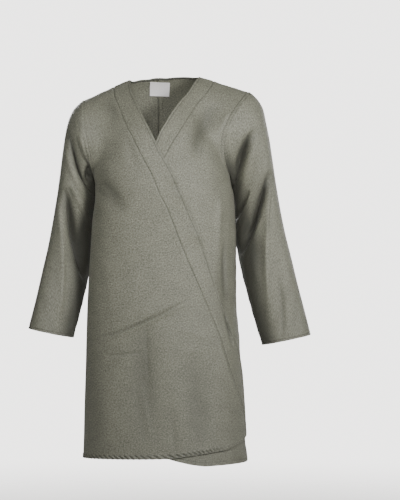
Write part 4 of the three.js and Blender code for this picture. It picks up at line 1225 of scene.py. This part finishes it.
class NodeGraph:
    """A material's nodes, added and linked by short calls."""

    def __init__(self, name: str) -> None:
        """Starts a material with a shader and an output."""
        self.material = bpy.data.materials.new(name)
        self.material.use_nodes = True
        self.nodes = self.material.node_tree.nodes
        self.links = self.material.node_tree.links
        self.nodes.clear()
        output = self.nodes.new("ShaderNodeOutputMaterial")
        self.shader = self.nodes.new("ShaderNodeBsdfPrincipled")
        self.links.new(self.shader.outputs[0], output.inputs[0])

    def add(self, kind: str, **values: object) -> bpy.types.Node:
        """Adds a node. A value that is an output is linked, and any other is set on its socket."""
        node = self.nodes.new(kind)
        for name, value in values.items():
            label = name.replace("_", " ")
            if hasattr(node, name) and name not in node.inputs:
                setattr(node, name, value)
                continue
            numbered = name[0] == "i" and name[1:].isdigit()
            socket = node.inputs[int(name[1:]) if numbered else label]
            if isinstance(value, Socket):
                self.links.new(value, socket)
            else:
                socket.default_value = value
        return node

    def math(self, operation: str, first: object, second: object = 0.0) -> Socket:
        """Adds a Math node and gives its output."""
        return self.add("ShaderNodeMath", operation=operation, i0=first, i1=second).outputs[0]

    def blend(self, first: Socket, first_share: float, second: Socket, second_share: float) -> Socket:
        """Adds up shares of two values."""
        share = self.math("MULTIPLY", first, first_share)
        return self.math("ADD", share, self.math("MULTIPLY", second, second_share))

    def noise(self, vector: Socket, scale: float, detail: float = 2.0) -> Socket:
        """Adds a Noise Texture and gives its value."""
        return self.add("ShaderNodeTexNoise", Vector=vector, Scale=scale, Detail=detail).outputs[0]

    def mapped(self, vector: Socket, scale: tuple, turn: float = 0.0) -> Socket:
        """Adds a Mapping node and gives its vector."""
        node = self.add("ShaderNodeMapping", Vector=vector, Scale=scale, Rotation=(0.0, 0.0, turn))
        return node.outputs[0]

    def attribute(self, name: str) -> Socket:
        """Adds an Attribute node and gives the value."""
        return self.add("ShaderNodeAttribute", attribute_name=name).outputs["Fac"]

    def cloth_map(self) -> Socket:
        """Gives the cloth's own UV map, which is in metres, in millimetres."""
        uv = self.add("ShaderNodeUVMap", uv_map="cloth").outputs[0]
        return self.mapped(uv, (1 / MM, 1 / MM, 1 / MM))

    def yarns(self, cloth: Socket, turn: float, apart: float, distortion: float) -> Socket:
        """Gives the height of yarns that lie side by side.

        Args:
            cloth: The cloth's map in millimetres.
            turn: How far the yarns are turned on it.
            apart: Distance between them in millimetres.
            distortion: How uneven they are.
        """
        return self.add(
            "ShaderNodeTexWave", Vector=self.mapped(cloth, (1.0, 1.0, 1.0), turn),
            Scale=0.3 / apart, Distortion=distortion, Detail=1.0,
        ).outputs[1]

    def ramp(
        self, factor: Socket, stops: Sequence[tuple[float, tuple]], smooth: bool = False
    ) -> Socket:
        """Adds a Color Ramp with the given stops and gives its colour."""
        node = self.add("ShaderNodeValToRGB")
        node.color_ramp.interpolation = "EASE" if smooth else "LINEAR"
        self.links.new(factor, node.inputs[0])
        elements = node.color_ramp.elements
        while len(elements) < len(stops):
            elements.new(0.5)
        for element, (place, colour) in zip(elements, stops):
            element.position = place
            element.color = (*colour, 1.0)
        return node.outputs[0]

    def mix(self, factor: object, first: object, second: object) -> Socket:
        """Mixes two colours and gives the result."""
        node = self.nodes.new("ShaderNodeMix")
        node.data_type = "RGBA"
        for index, value in ((0, factor), (6, first), (7, second)):
            socket = node.inputs[index]
            if isinstance(value, Socket):
                self.links.new(value, socket)
            elif isinstance(value, tuple):
                socket.default_value = (*value, 1.0)
            else:
                socket.default_value = value
        return node.outputs[2]

    def finish(self, colour: object, roughness: object, bump: Optional[object], depth: float) -> None:
        """Links the shader's colour, roughness and bump."""
        for name, value in (("Base Color", colour), ("Roughness", roughness)):
            if isinstance(value, Socket):
                self.links.new(value, self.shader.inputs[name])
            else:
                self.shader.inputs[name].default_value = value
        if bump is not None:
            node = self.add("ShaderNodeBump", Height=bump, Strength=0.6, Distance=depth)
            self.links.new(node.outputs[0], self.shader.inputs["Normal"])


@dataclass(frozen=True)
class WoolFinish:
    """Woven wool of mixed light and dark fibres, with a short nap.

    It is paler where it is worn and darker along seams and stitched lines. Painted shade darkens it in
    the troughs of folds, on the sleeves' inner sides, in the rolled hem's grooves, along a turned edge's
    rim, and more for each metre below a set height, counted downwards.
    """

    name: str = "grey_green_wool"
    light: Triple = (0.24, 0.24, 0.183)
    middle: Triple = (0.154, 0.1535, 0.1155)
    dark: Triple = (0.086, 0.0857, 0.063)
    worn: Triple = (0.2, 0.198, 0.157)
    shadow: Triple = (0.03, 0.03, 0.023)
    worn_share: float = 0.3
    # Painted shade: how far fold troughs and the sleeves' inner sides are darkened towards the shadow
    # colour.
    painted_shade_share: float = 0.9
    # Painted shade, darker towards the hem: the next two give the depth below the origin where it starts
    # and how much it darkens for each metre further down.
    shade_start_depth: float = 0.42
    downward_shade: float = 0.6
    yarn: float = 0.95
    roughness: float = 0.52
    sheen: float = 0.1

    def material(self) -> bpy.types.Material:
        """Makes the material on the cloth's own UV map, which is in metres."""
        graph = NodeGraph(self.name)
        cloth = graph.cloth_map()
        warp = graph.noise(graph.mapped(cloth, (1.0, 0.5, 1.0)), 0.42, 4.0)
        weft = graph.noise(graph.mapped(cloth, (0.5, 1.0, 1.0)), 0.36, 4.0)
        fleck = graph.noise(cloth, 0.28, 4.0)
        cloud = graph.noise(cloth, 0.03, 2.0)
        fibres = graph.blend(warp, 0.32, weft, 0.24)
        shade = graph.math("ADD", fibres, graph.blend(fleck, 0.36, cloud, 0.08))
        colour = graph.ramp(shade, ((0.4, self.dark), (0.5, self.middle), (0.6, self.light)))
        wear = graph.attribute("worn")
        colour = graph.mix(graph.math("MULTIPLY", wear, self.worn_share), colour, self.worn)
        # Painted shade in fold troughs and on the sleeves' sides towards the body.
        darkness = graph.math("MULTIPLY", graph.attribute("painted_shade"), self.painted_shade_share)
        colour = graph.mix(darkness, colour, self.shadow)
        # Painted shade: darker for each metre below the starting depth, towards the hem.
        place = graph.add("ShaderNodeTexCoord").outputs["Object"]
        height = graph.add("ShaderNodeSeparateXYZ", Vector=place).outputs["Z"]
        lower_shade = graph.math("MULTIPLY", graph.math("ADD", height, self.shade_start_depth), -self.downward_shade)
        colour = graph.mix(graph.math("MAXIMUM", lower_shade, 0.0), colour, self.shadow)
        # Seams and stitched lines darken the cloth; painted shade darkens the rolled hem's grooves and
        # turned edges' rims.
        colour = graph.mix(graph.attribute("line"), colour, self.shadow)
        relief = graph.blend(self.weave(graph, cloth), 0.6, shade, 1.6)
        rough = graph.math("SUBTRACT", self.roughness, graph.math("MULTIPLY", wear, 0.08))
        graph.finish(colour, rough, relief, 0.0005)
        shader = graph.shader
        shader.inputs["Sheen Weight"].default_value = self.sheen
        shader.inputs["Sheen Roughness"].default_value = 0.55
        shader.inputs["Sheen Tint"].default_value = (0.84, 0.83, 0.76, 1.0)
        shader.inputs["Specular IOR Level"].default_value = 0.42
        return graph.material

    def weave(self, graph: NodeGraph, cloth: Socket) -> Socket:
        """Gives the height of the weave: slanting ribs crossed by the weft."""
        ribs = graph.yarns(cloth, 0.6, self.yarn, 0.6)
        weft = graph.yarns(cloth, math.pi / 2, self.yarn, 0.4)
        return graph.blend(ribs, 0.6, weft, 0.4)


@dataclass(frozen=True)
class TapeFinish:
    """Woven tape: fine ribs across it, slightly smooth."""

    name: str
    light: Triple
    dark: Triple
    rib: float = 0.6
    roughness: float = 0.62
    sheen: float = 0.05

    def material(self) -> bpy.types.Material:
        """Makes the material on the tape's own UV map, which is in metres."""
        graph = NodeGraph(self.name)
        cloth = graph.cloth_map()
        ribs = graph.yarns(cloth, math.pi / 2, self.rib, 0.3)
        mottle = graph.noise(cloth, 0.3, 3.0)
        factor = graph.blend(ribs, 0.35, mottle, 0.65)
        colour = graph.ramp(factor, ((0.3, self.dark), (0.7, self.light)))
        graph.finish(colour, self.roughness, ribs, 0.00015)
        graph.shader.inputs["Sheen Weight"].default_value = self.sheen
        graph.shader.inputs["Specular IOR Level"].default_value = 0.3
        return graph.material


@dataclass(frozen=True)
class ThreadFinish:
    """Twisted sewing thread."""

    name: str = "grey_green_thread"
    light: Triple = (0.062, 0.061, 0.05)
    dark: Triple = (0.03, 0.03, 0.024)
    twist: float = 1400.0

    def material(self) -> bpy.types.Material:
        """Makes the material on Object coordinates."""
        graph = NodeGraph(self.name)
        place = graph.add("ShaderNodeTexCoord").outputs["Object"]
        strands = graph.add(
            "ShaderNodeTexWave", Vector=graph.mapped(place, (1.0, 0.4, 1.0), 0.7),
            Scale=self.twist * 0.3, Distortion=0.5,
        ).outputs[1]
        colour = graph.ramp(strands, ((0.25, self.dark), (0.75, self.light)))
        graph.finish(colour, 0.6, strands, 0.0001)
        return graph.material


@dataclass(frozen=True)
class FloorFinish:
    """Pale matt floor that fades out into the pale surroundings away from its middle."""

    name: str = "pale_floor"
    colour: Triple = (0.84, 0.83, 0.81)
    whole_to: float = 0.7
    gone_at: float = 3.4

    def material(self) -> bpy.types.Material:
        """Makes the material on Object coordinates."""
        graph = NodeGraph(self.name)
        place = graph.add("ShaderNodeTexCoord").outputs["Object"]
        grain = graph.noise(place, 6.0, 4.0)
        low = tuple(0.97 * value for value in self.colour)
        graph.finish(graph.ramp(grain, ((0.3, low), (0.7, self.colour))), 0.9, None, 0.0)
        away = graph.add("ShaderNodeVectorMath", operation="LENGTH", i0=place).outputs["Value"]
        span = self.gone_at - self.whole_to
        share = graph.math("DIVIDE", graph.math("SUBTRACT", away, self.whole_to), span)
        fade = graph.ramp(share, ((0.0, (1.0, 1.0, 1.0)), (1.0, (0.0, 0.0, 0.0))), smooth=True)
        graph.links.new(fade, graph.shader.inputs["Alpha"])
        return graph.material


@dataclass(frozen=True)
class BackdropFinish:
    """Plain pale backdrop, lit evenly of itself."""

    name: str = "pale_backdrop"
    colour: Triple = (1.0, 0.985, 0.965)
    brightness: float = 3.4

    def material(self) -> bpy.types.Material:
        """Makes the material."""
        material = bpy.data.materials.new(self.name)
        material.use_nodes = True
        nodes = material.node_tree.nodes
        nodes.clear()
        glow = nodes.new("ShaderNodeEmission")
        glow.inputs["Color"].default_value = (*self.colour, 1.0)
        glow.inputs["Strength"].default_value = self.brightness
        output = nodes.new("ShaderNodeOutputMaterial")
        material.node_tree.links.new(glow.outputs[0], output.inputs[0])
        return material


@dataclass(frozen=True)
class Lamp:
    """One soft square light."""

    name: str
    place: Triple
    target: Triple
    size: float
    power: float

    def build(self) -> None:
        """Hangs the light and turns it to its target."""
        data = bpy.data.lights.new(self.name, "AREA")
        data.shape = "SQUARE"
        data.size = self.size
        data.energy = self.power
        lamp = add_object(self.name, data)
        lamp.location = self.place
        lamp.visible_camera = False
        ahead = Vector(self.target) - Vector(self.place)
        lamp.rotation_euler = ahead.to_track_quat("-Z", "Y").to_euler()


@dataclass(frozen=True)
class Studio:
    """Camera, soft lights, pale surroundings and a pale floor."""

    camera_place: Triple = (0.0985, -5.0, -0.432)
    lens: float = 133.3
    floor_z: float = -1.36
    floor_size: float = 8.0
    backdrop_radius: float = 14.0
    room: Triple = (0.9, 0.95, 1.0)
    room_glow: float = 0.05
    lamps: tuple[Lamp, ...] = (
        Lamp("key_light", (1.4, -1.85, 0.3), (0.02, 0.0, -0.24), 0.55, 52.0),
        Lamp("front_light", (-0.14, -2.1, 0.32), (0.0, 0.0, -0.15), 0.6, 30.0),
        Lamp("fill_light", (-2.1, -1.4, 0.5), (0.0, 0.0, -0.36), 0.9, 6.0),
        Lamp("back_light", (-0.7, 2.3, 0.5), (0.0, 0.0, -0.35), 1.1, 52.0),
        Lamp("back_fill", (1.7, 2.0, 0.2), (0.0, 0.0, -0.4), 1.2, 18.0),
    )

    def camera(self) -> None:
        """Places the camera at the photograph's view."""
        data = bpy.data.cameras.new("camera")
        data.lens = self.lens
        data.sensor_width = 36.0
        data.clip_end = 100.0
        camera = add_object("camera", data)
        camera.location = self.camera_place
        camera.rotation_euler = (math.pi / 2, 0.0, 0.0)
        bpy.context.scene.camera = camera

    def floor(self) -> None:
        """Adds the floor, which isn't part of the coat."""
        deselect_all()
        bpy.ops.mesh.primitive_plane_add(size=self.floor_size, location=(0, 0, self.floor_z))
        floor = bpy.context.object
        floor.name = "floor"
        floor.data.materials.append(FloorFinish().material())

    def backdrop(self) -> None:
        """Adds the backdrop all round, which shows behind the coat but throws no light on it."""
        deselect_all()
        bpy.ops.mesh.primitive_uv_sphere_add(segments=48, ring_count=24, radius=self.backdrop_radius)
        backdrop = bpy.context.object
        backdrop.name = "backdrop"
        backdrop.data.materials.append(BackdropFinish().material())
        backdrop.visible_diffuse = False
        backdrop.visible_glossy = False
        backdrop.visible_shadow = False

    def build(self) -> None:
        """Makes the whole studio."""
        self.camera()
        world = bpy.data.worlds.new("dim_room")
        world.use_nodes = True
        world.node_tree.nodes["Background"].inputs["Color"].default_value = (*self.room, 1.0)
        world.node_tree.nodes["Background"].inputs["Strength"].default_value = self.room_glow
        bpy.context.scene.world = world
        self.backdrop()
        for lamp in self.lamps:
            lamp.build()
        self.floor()


def fixed_turn(turn: float) -> LineOnBody:
    """Gives the line that keeps one turn at every level."""
    return lambda level: np.full_like(level, turn)


def lying_flat(turn: Array, level: Array, share: Array) -> Array:
    """Gives how far a panel that lies on the body stands off it, which is nowhere."""
    return np.zeros_like(turn)


def overlap_rise(turn: Array, level: Array) -> Array:
    """Gives how far the right front stands off the body, from the side seam up to the chest."""
    return OVERLAP_RISE * smoothstep(turn, -1, -0.78) * (1 - smoothstep(level, 0.3, 0.85))


def edge_lift(level: Array, share: Array) -> Array:
    """Gives how far the lapped edge lifts off the front below it."""
    z = FIGURE.armpit_z + level * FIGURE.skirt_drop
    lift = sum(height * np.exp(-(((z - at) / half) ** 2)) for at, half, height in EDGE_LIFTS.rows)
    return lift * share * share


class Coat:
    """The whole coat: its panels, sleeves, trims and stitching."""

    def __init__(self) -> None:
        """Finds the coat's lines on the figure and makes its finishes."""
        self.right_edge = FIGURE.line(RIGHT_EDGE_TOP, RIGHT_EDGE, RIGHT_EDGE_ROUND)
        self.right_seam = FIGURE.line(RIGHT_SEAM_TOP, RIGHT_SEAM, RIGHT_SEAM_ROUND)
        self.left_edge = FIGURE.line(LEFT_EDGE_TOP, LEFT_EDGE, LEFT_EDGE_ROUND)
        self.left_seam = FIGURE.line(LEFT_SEAM_TOP, LEFT_SEAM, LEFT_SEAM_ROUND)
        self.left_neck = FIGURE.turn_at_top(LEFT_EDGE_TOP, Side.BACK)
        self.right_neck = FIGURE.turn_at_top(RIGHT_EDGE_TOP, Side.BACK)
        turns, levels = FIGURE.locate(BACK_NECK.column("x"), BACK_NECK.column("z"), Side.BACK)
        turns = np.concatenate([[self.left_neck], turns, [self.right_neck]])
        self.neck_line = Curve(turns, np.concatenate([[1.0], levels, [1.0]]))
        self.wool = WoolFinish().material()
        self.binding = TapeFinish("binding_tape", (0.085, 0.084, 0.068), (0.05, 0.05, 0.04)).material()
        self.label = TapeFinish("label_tape", (0.84, 0.81, 0.8), (0.74, 0.71, 0.7), rib=0.45).material()
        self.thread = ThreadFinish().material()

    def fronts(self) -> list[BodyPanel]:
        """Gives the two fronts and their bands."""
        right_side, left_side = fixed_turn(-1.0), fixed_turn(1.0)
        right_hem, left_hem = RIGHT_HEM.curve("turn", "z"), LEFT_HEM.curve("turn", "z")
        return [
            BodyPanel(
                "left_front_cloth", "left_front", Side.FRONT, self.left_seam, left_side, left_hem,
                (Border.SEAM, Border.STITCHED, Border.PLAIN, Border.SEAM), lying_flat, FRONT_FOLDS,
                shift=40,
            ),
            BodyPanel(
                "left_band_cloth", "left_front_band", Side.FRONT,
                self.left_edge, self.left_seam, left_hem,
                (Border.EDGE, Border.SEAM, Border.PLAIN, Border.SEAM),
                lambda turn, level, share: BAND_RAISE * smoothstep(level, -0.1, 0.2), FRONT_FOLDS,
                cloth=BAND_CLOTH, shift=260, step_along=3.4,
            ),
            BodyPanel(
                "right_front_cloth", "right_front", Side.FRONT, right_side, self.right_seam, right_hem,
                (Border.STITCHED, Border.SEAM, Border.ROPED, Border.SEAM),
                lambda turn, level, share: overlap_rise(turn, level), FRONT_FOLDS, shift=330,
                step_across=2.3, step_along=6.6, finer=(225.0, 425.0, 3.4), marked=0.8,
            ),
            BodyPanel(
                "right_band_cloth", "right_front_band", Side.FRONT,
                self.right_seam, self.right_edge, right_hem,
                (Border.SEAM, Border.EDGE, Border.PLAIN, Border.SEAM),
                lambda turn, level, share: BAND_RAISE + overlap_rise(turn, level) + edge_lift(level, share),
                FRONT_FOLDS, cloth=BAND_CLOTH, shift=120, step_along=3.4,
            ),
        ]

    def backs(self) -> list[BodyPanel]:
        """Gives the two halves of the back, the left one first."""
        hem = BACK_HEM.curve("turn", "z")
        return [
            BodyPanel(
                "left_back_cloth", "left_back", Side.BACK, fixed_turn(1.0), fixed_turn(2.0), hem,
                (Border.STITCHED, Border.OPEN_SEAM, Border.PLAIN, Border.SEAM), lying_flat, BACK_FOLDS,
                shift=75, neck=self.left_neck, neck_line=self.neck_line,
            ),
            BodyPanel(
                "right_back_cloth", "right_back", Side.BACK, fixed_turn(2.0), fixed_turn(3.0), hem,
                (Border.OPEN_SEAM, Border.STITCHED, Border.PLAIN, Border.SEAM), lying_flat, BACK_FOLDS,
                shift=205, neck=self.right_neck, neck_line=self.neck_line,
            ),
        ]

    def place(self, piece: bpy.types.Object, node: Optional[str], slot: str) -> bpy.types.Object:
        """Lets a piece ride on the coat, hides the solid that it stands for and logs its triangles."""
        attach(piece, "root")
        if node is not None:
            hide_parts(node)
        triangles = sum(len(face.vertices) - 2 for face in piece.data.polygons)
        log.info("%s: %d triangles", piece.name, triangles)
        return piece

    def build(self) -> None:
        """Makes and places every piece."""
        pieces, grids, panels = {}, {}, {}
        for panel in [*self.backs(), *self.fronts()]:
            grids[panel.node] = panel.grid()
            panels[panel.node] = panel
            cloth = grids[panel.node].build(panel.name, self.wool)
            pieces[panel.node] = self.place(cloth, panel.node, "wool")
        sleeves = (
            Sleeve(
                "left_sleeve_cloth", "left_sleeve", LEFT_FORM, True,
                LEFT_SLEEVE_FOLDS, LEFT_SLEEVE_TUCKS, LEFT_SLEEVE_BACK_FOLDS, 55,
            ),
            Sleeve(
                "right_sleeve_cloth", "right_sleeve", RIGHT_FORM, False,
                RIGHT_SLEEVE_FOLDS, RIGHT_SLEEVE_TUCKS, RIGHT_SLEEVE_BACK_FOLDS, 180,
            ),
        )
        routes = {"cuffs": [], "armholes": [], "edges": [], "hems": []}
        for sleeve in sleeves:
            grids[sleeve.node] = sleeve.grid()
            cloth = grids[sleeve.node].build(sleeve.name, self.wool)
            pieces[sleeve.node] = self.place(cloth, sleeve.node, "wool")
            routes["cuffs"].append(sleeve.cuff_route(grids[sleeve.node]))
        binding = NeckBinding().grid(self.neck_inside(grids))
        self.place(binding.build("neck_binding_tape", self.binding), "neck_binding", "binding")
        grids["neck_label"] = NeckLabel().grid()
        label = grids["neck_label"].build("neck_label_tape", self.label)
        pieces["neck_label"] = self.place(label, "neck_label", "label")
        for node, which in (("left_front", 1), ("right_front", 0), ("left_back", 0), ("right_back", 1)):
            routes["armholes"].append(self.above_armpit(panels[node].stitch_route(grids[node], which)))
        for node, which in (("left_front_band", 0), ("right_front_band", 1)):
            routes["edges"].append(panels[node].stitch_route(grids[node], which))
        for node in ("left_front", "left_front_band", "left_back", "right_back"):
            routes["hems"].append(panels[node].stitch_route(grids[node], 2))
        for name, route in routes.items():
            self.place(StitchRow(f"{name}_stitches").build(route, self.thread), None, "wool")
        for node, grid in grids.items():
            self.declare(pieces[node], grid)

    def declare(self, piece: bpy.types.Object, grid: ClothGrid) -> None:
        """Logs the size that a piece was cut to, without its seam allowances, and its area."""
        width = float(max(np.ptp(grid.across, axis=0))) * MM
        length = float(max(np.ptp(grid.along, axis=1))) * MM
        area = min(grid.area(), width * length)
        log.info("%s: cut %.3f by %.3f m, %.3f square metres", piece.name, width, length, area)

    def neck_inside(self, grids: dict[str, ClothGrid]) -> list[ClothGrid]:
        """Gives the parts of the two backs that end in the neck's edge."""
        parts = []
        for node in ("left_back", "right_back"):
            grid = grids[node]
            x = grid.inner[:, -1, 0]
            keep = (x < LEFT_EDGE_TOP - 6) if node == "left_back" else (x > RIGHT_EDGE_TOP + 6)
            parts.append(ClothGrid(
                grid.outer[keep], grid.inner[keep], grid.normal[keep],
                grid.across[keep], grid.along[keep], grid.edge[keep], grid.painted_shade[keep], grid.line[keep],
            ))
        return parts

    def above_armpit(self, route: tuple[Array, Array]) -> tuple[Array, Array]:
        """Gives the stretch of a line beside a side seam and armhole that lies along the armhole."""
        points, normals = route
        keep = points[:, 2] > FIGURE.armpit_z + 4
        return points[keep], normals[keep]


def main() -> None:
    """Builds the studio and the coat."""
    logging.basicConfig(level=logging.INFO, format="%(message)s")
    Studio().build()
    Coat().build()


if __name__ == "__main__":
    main()
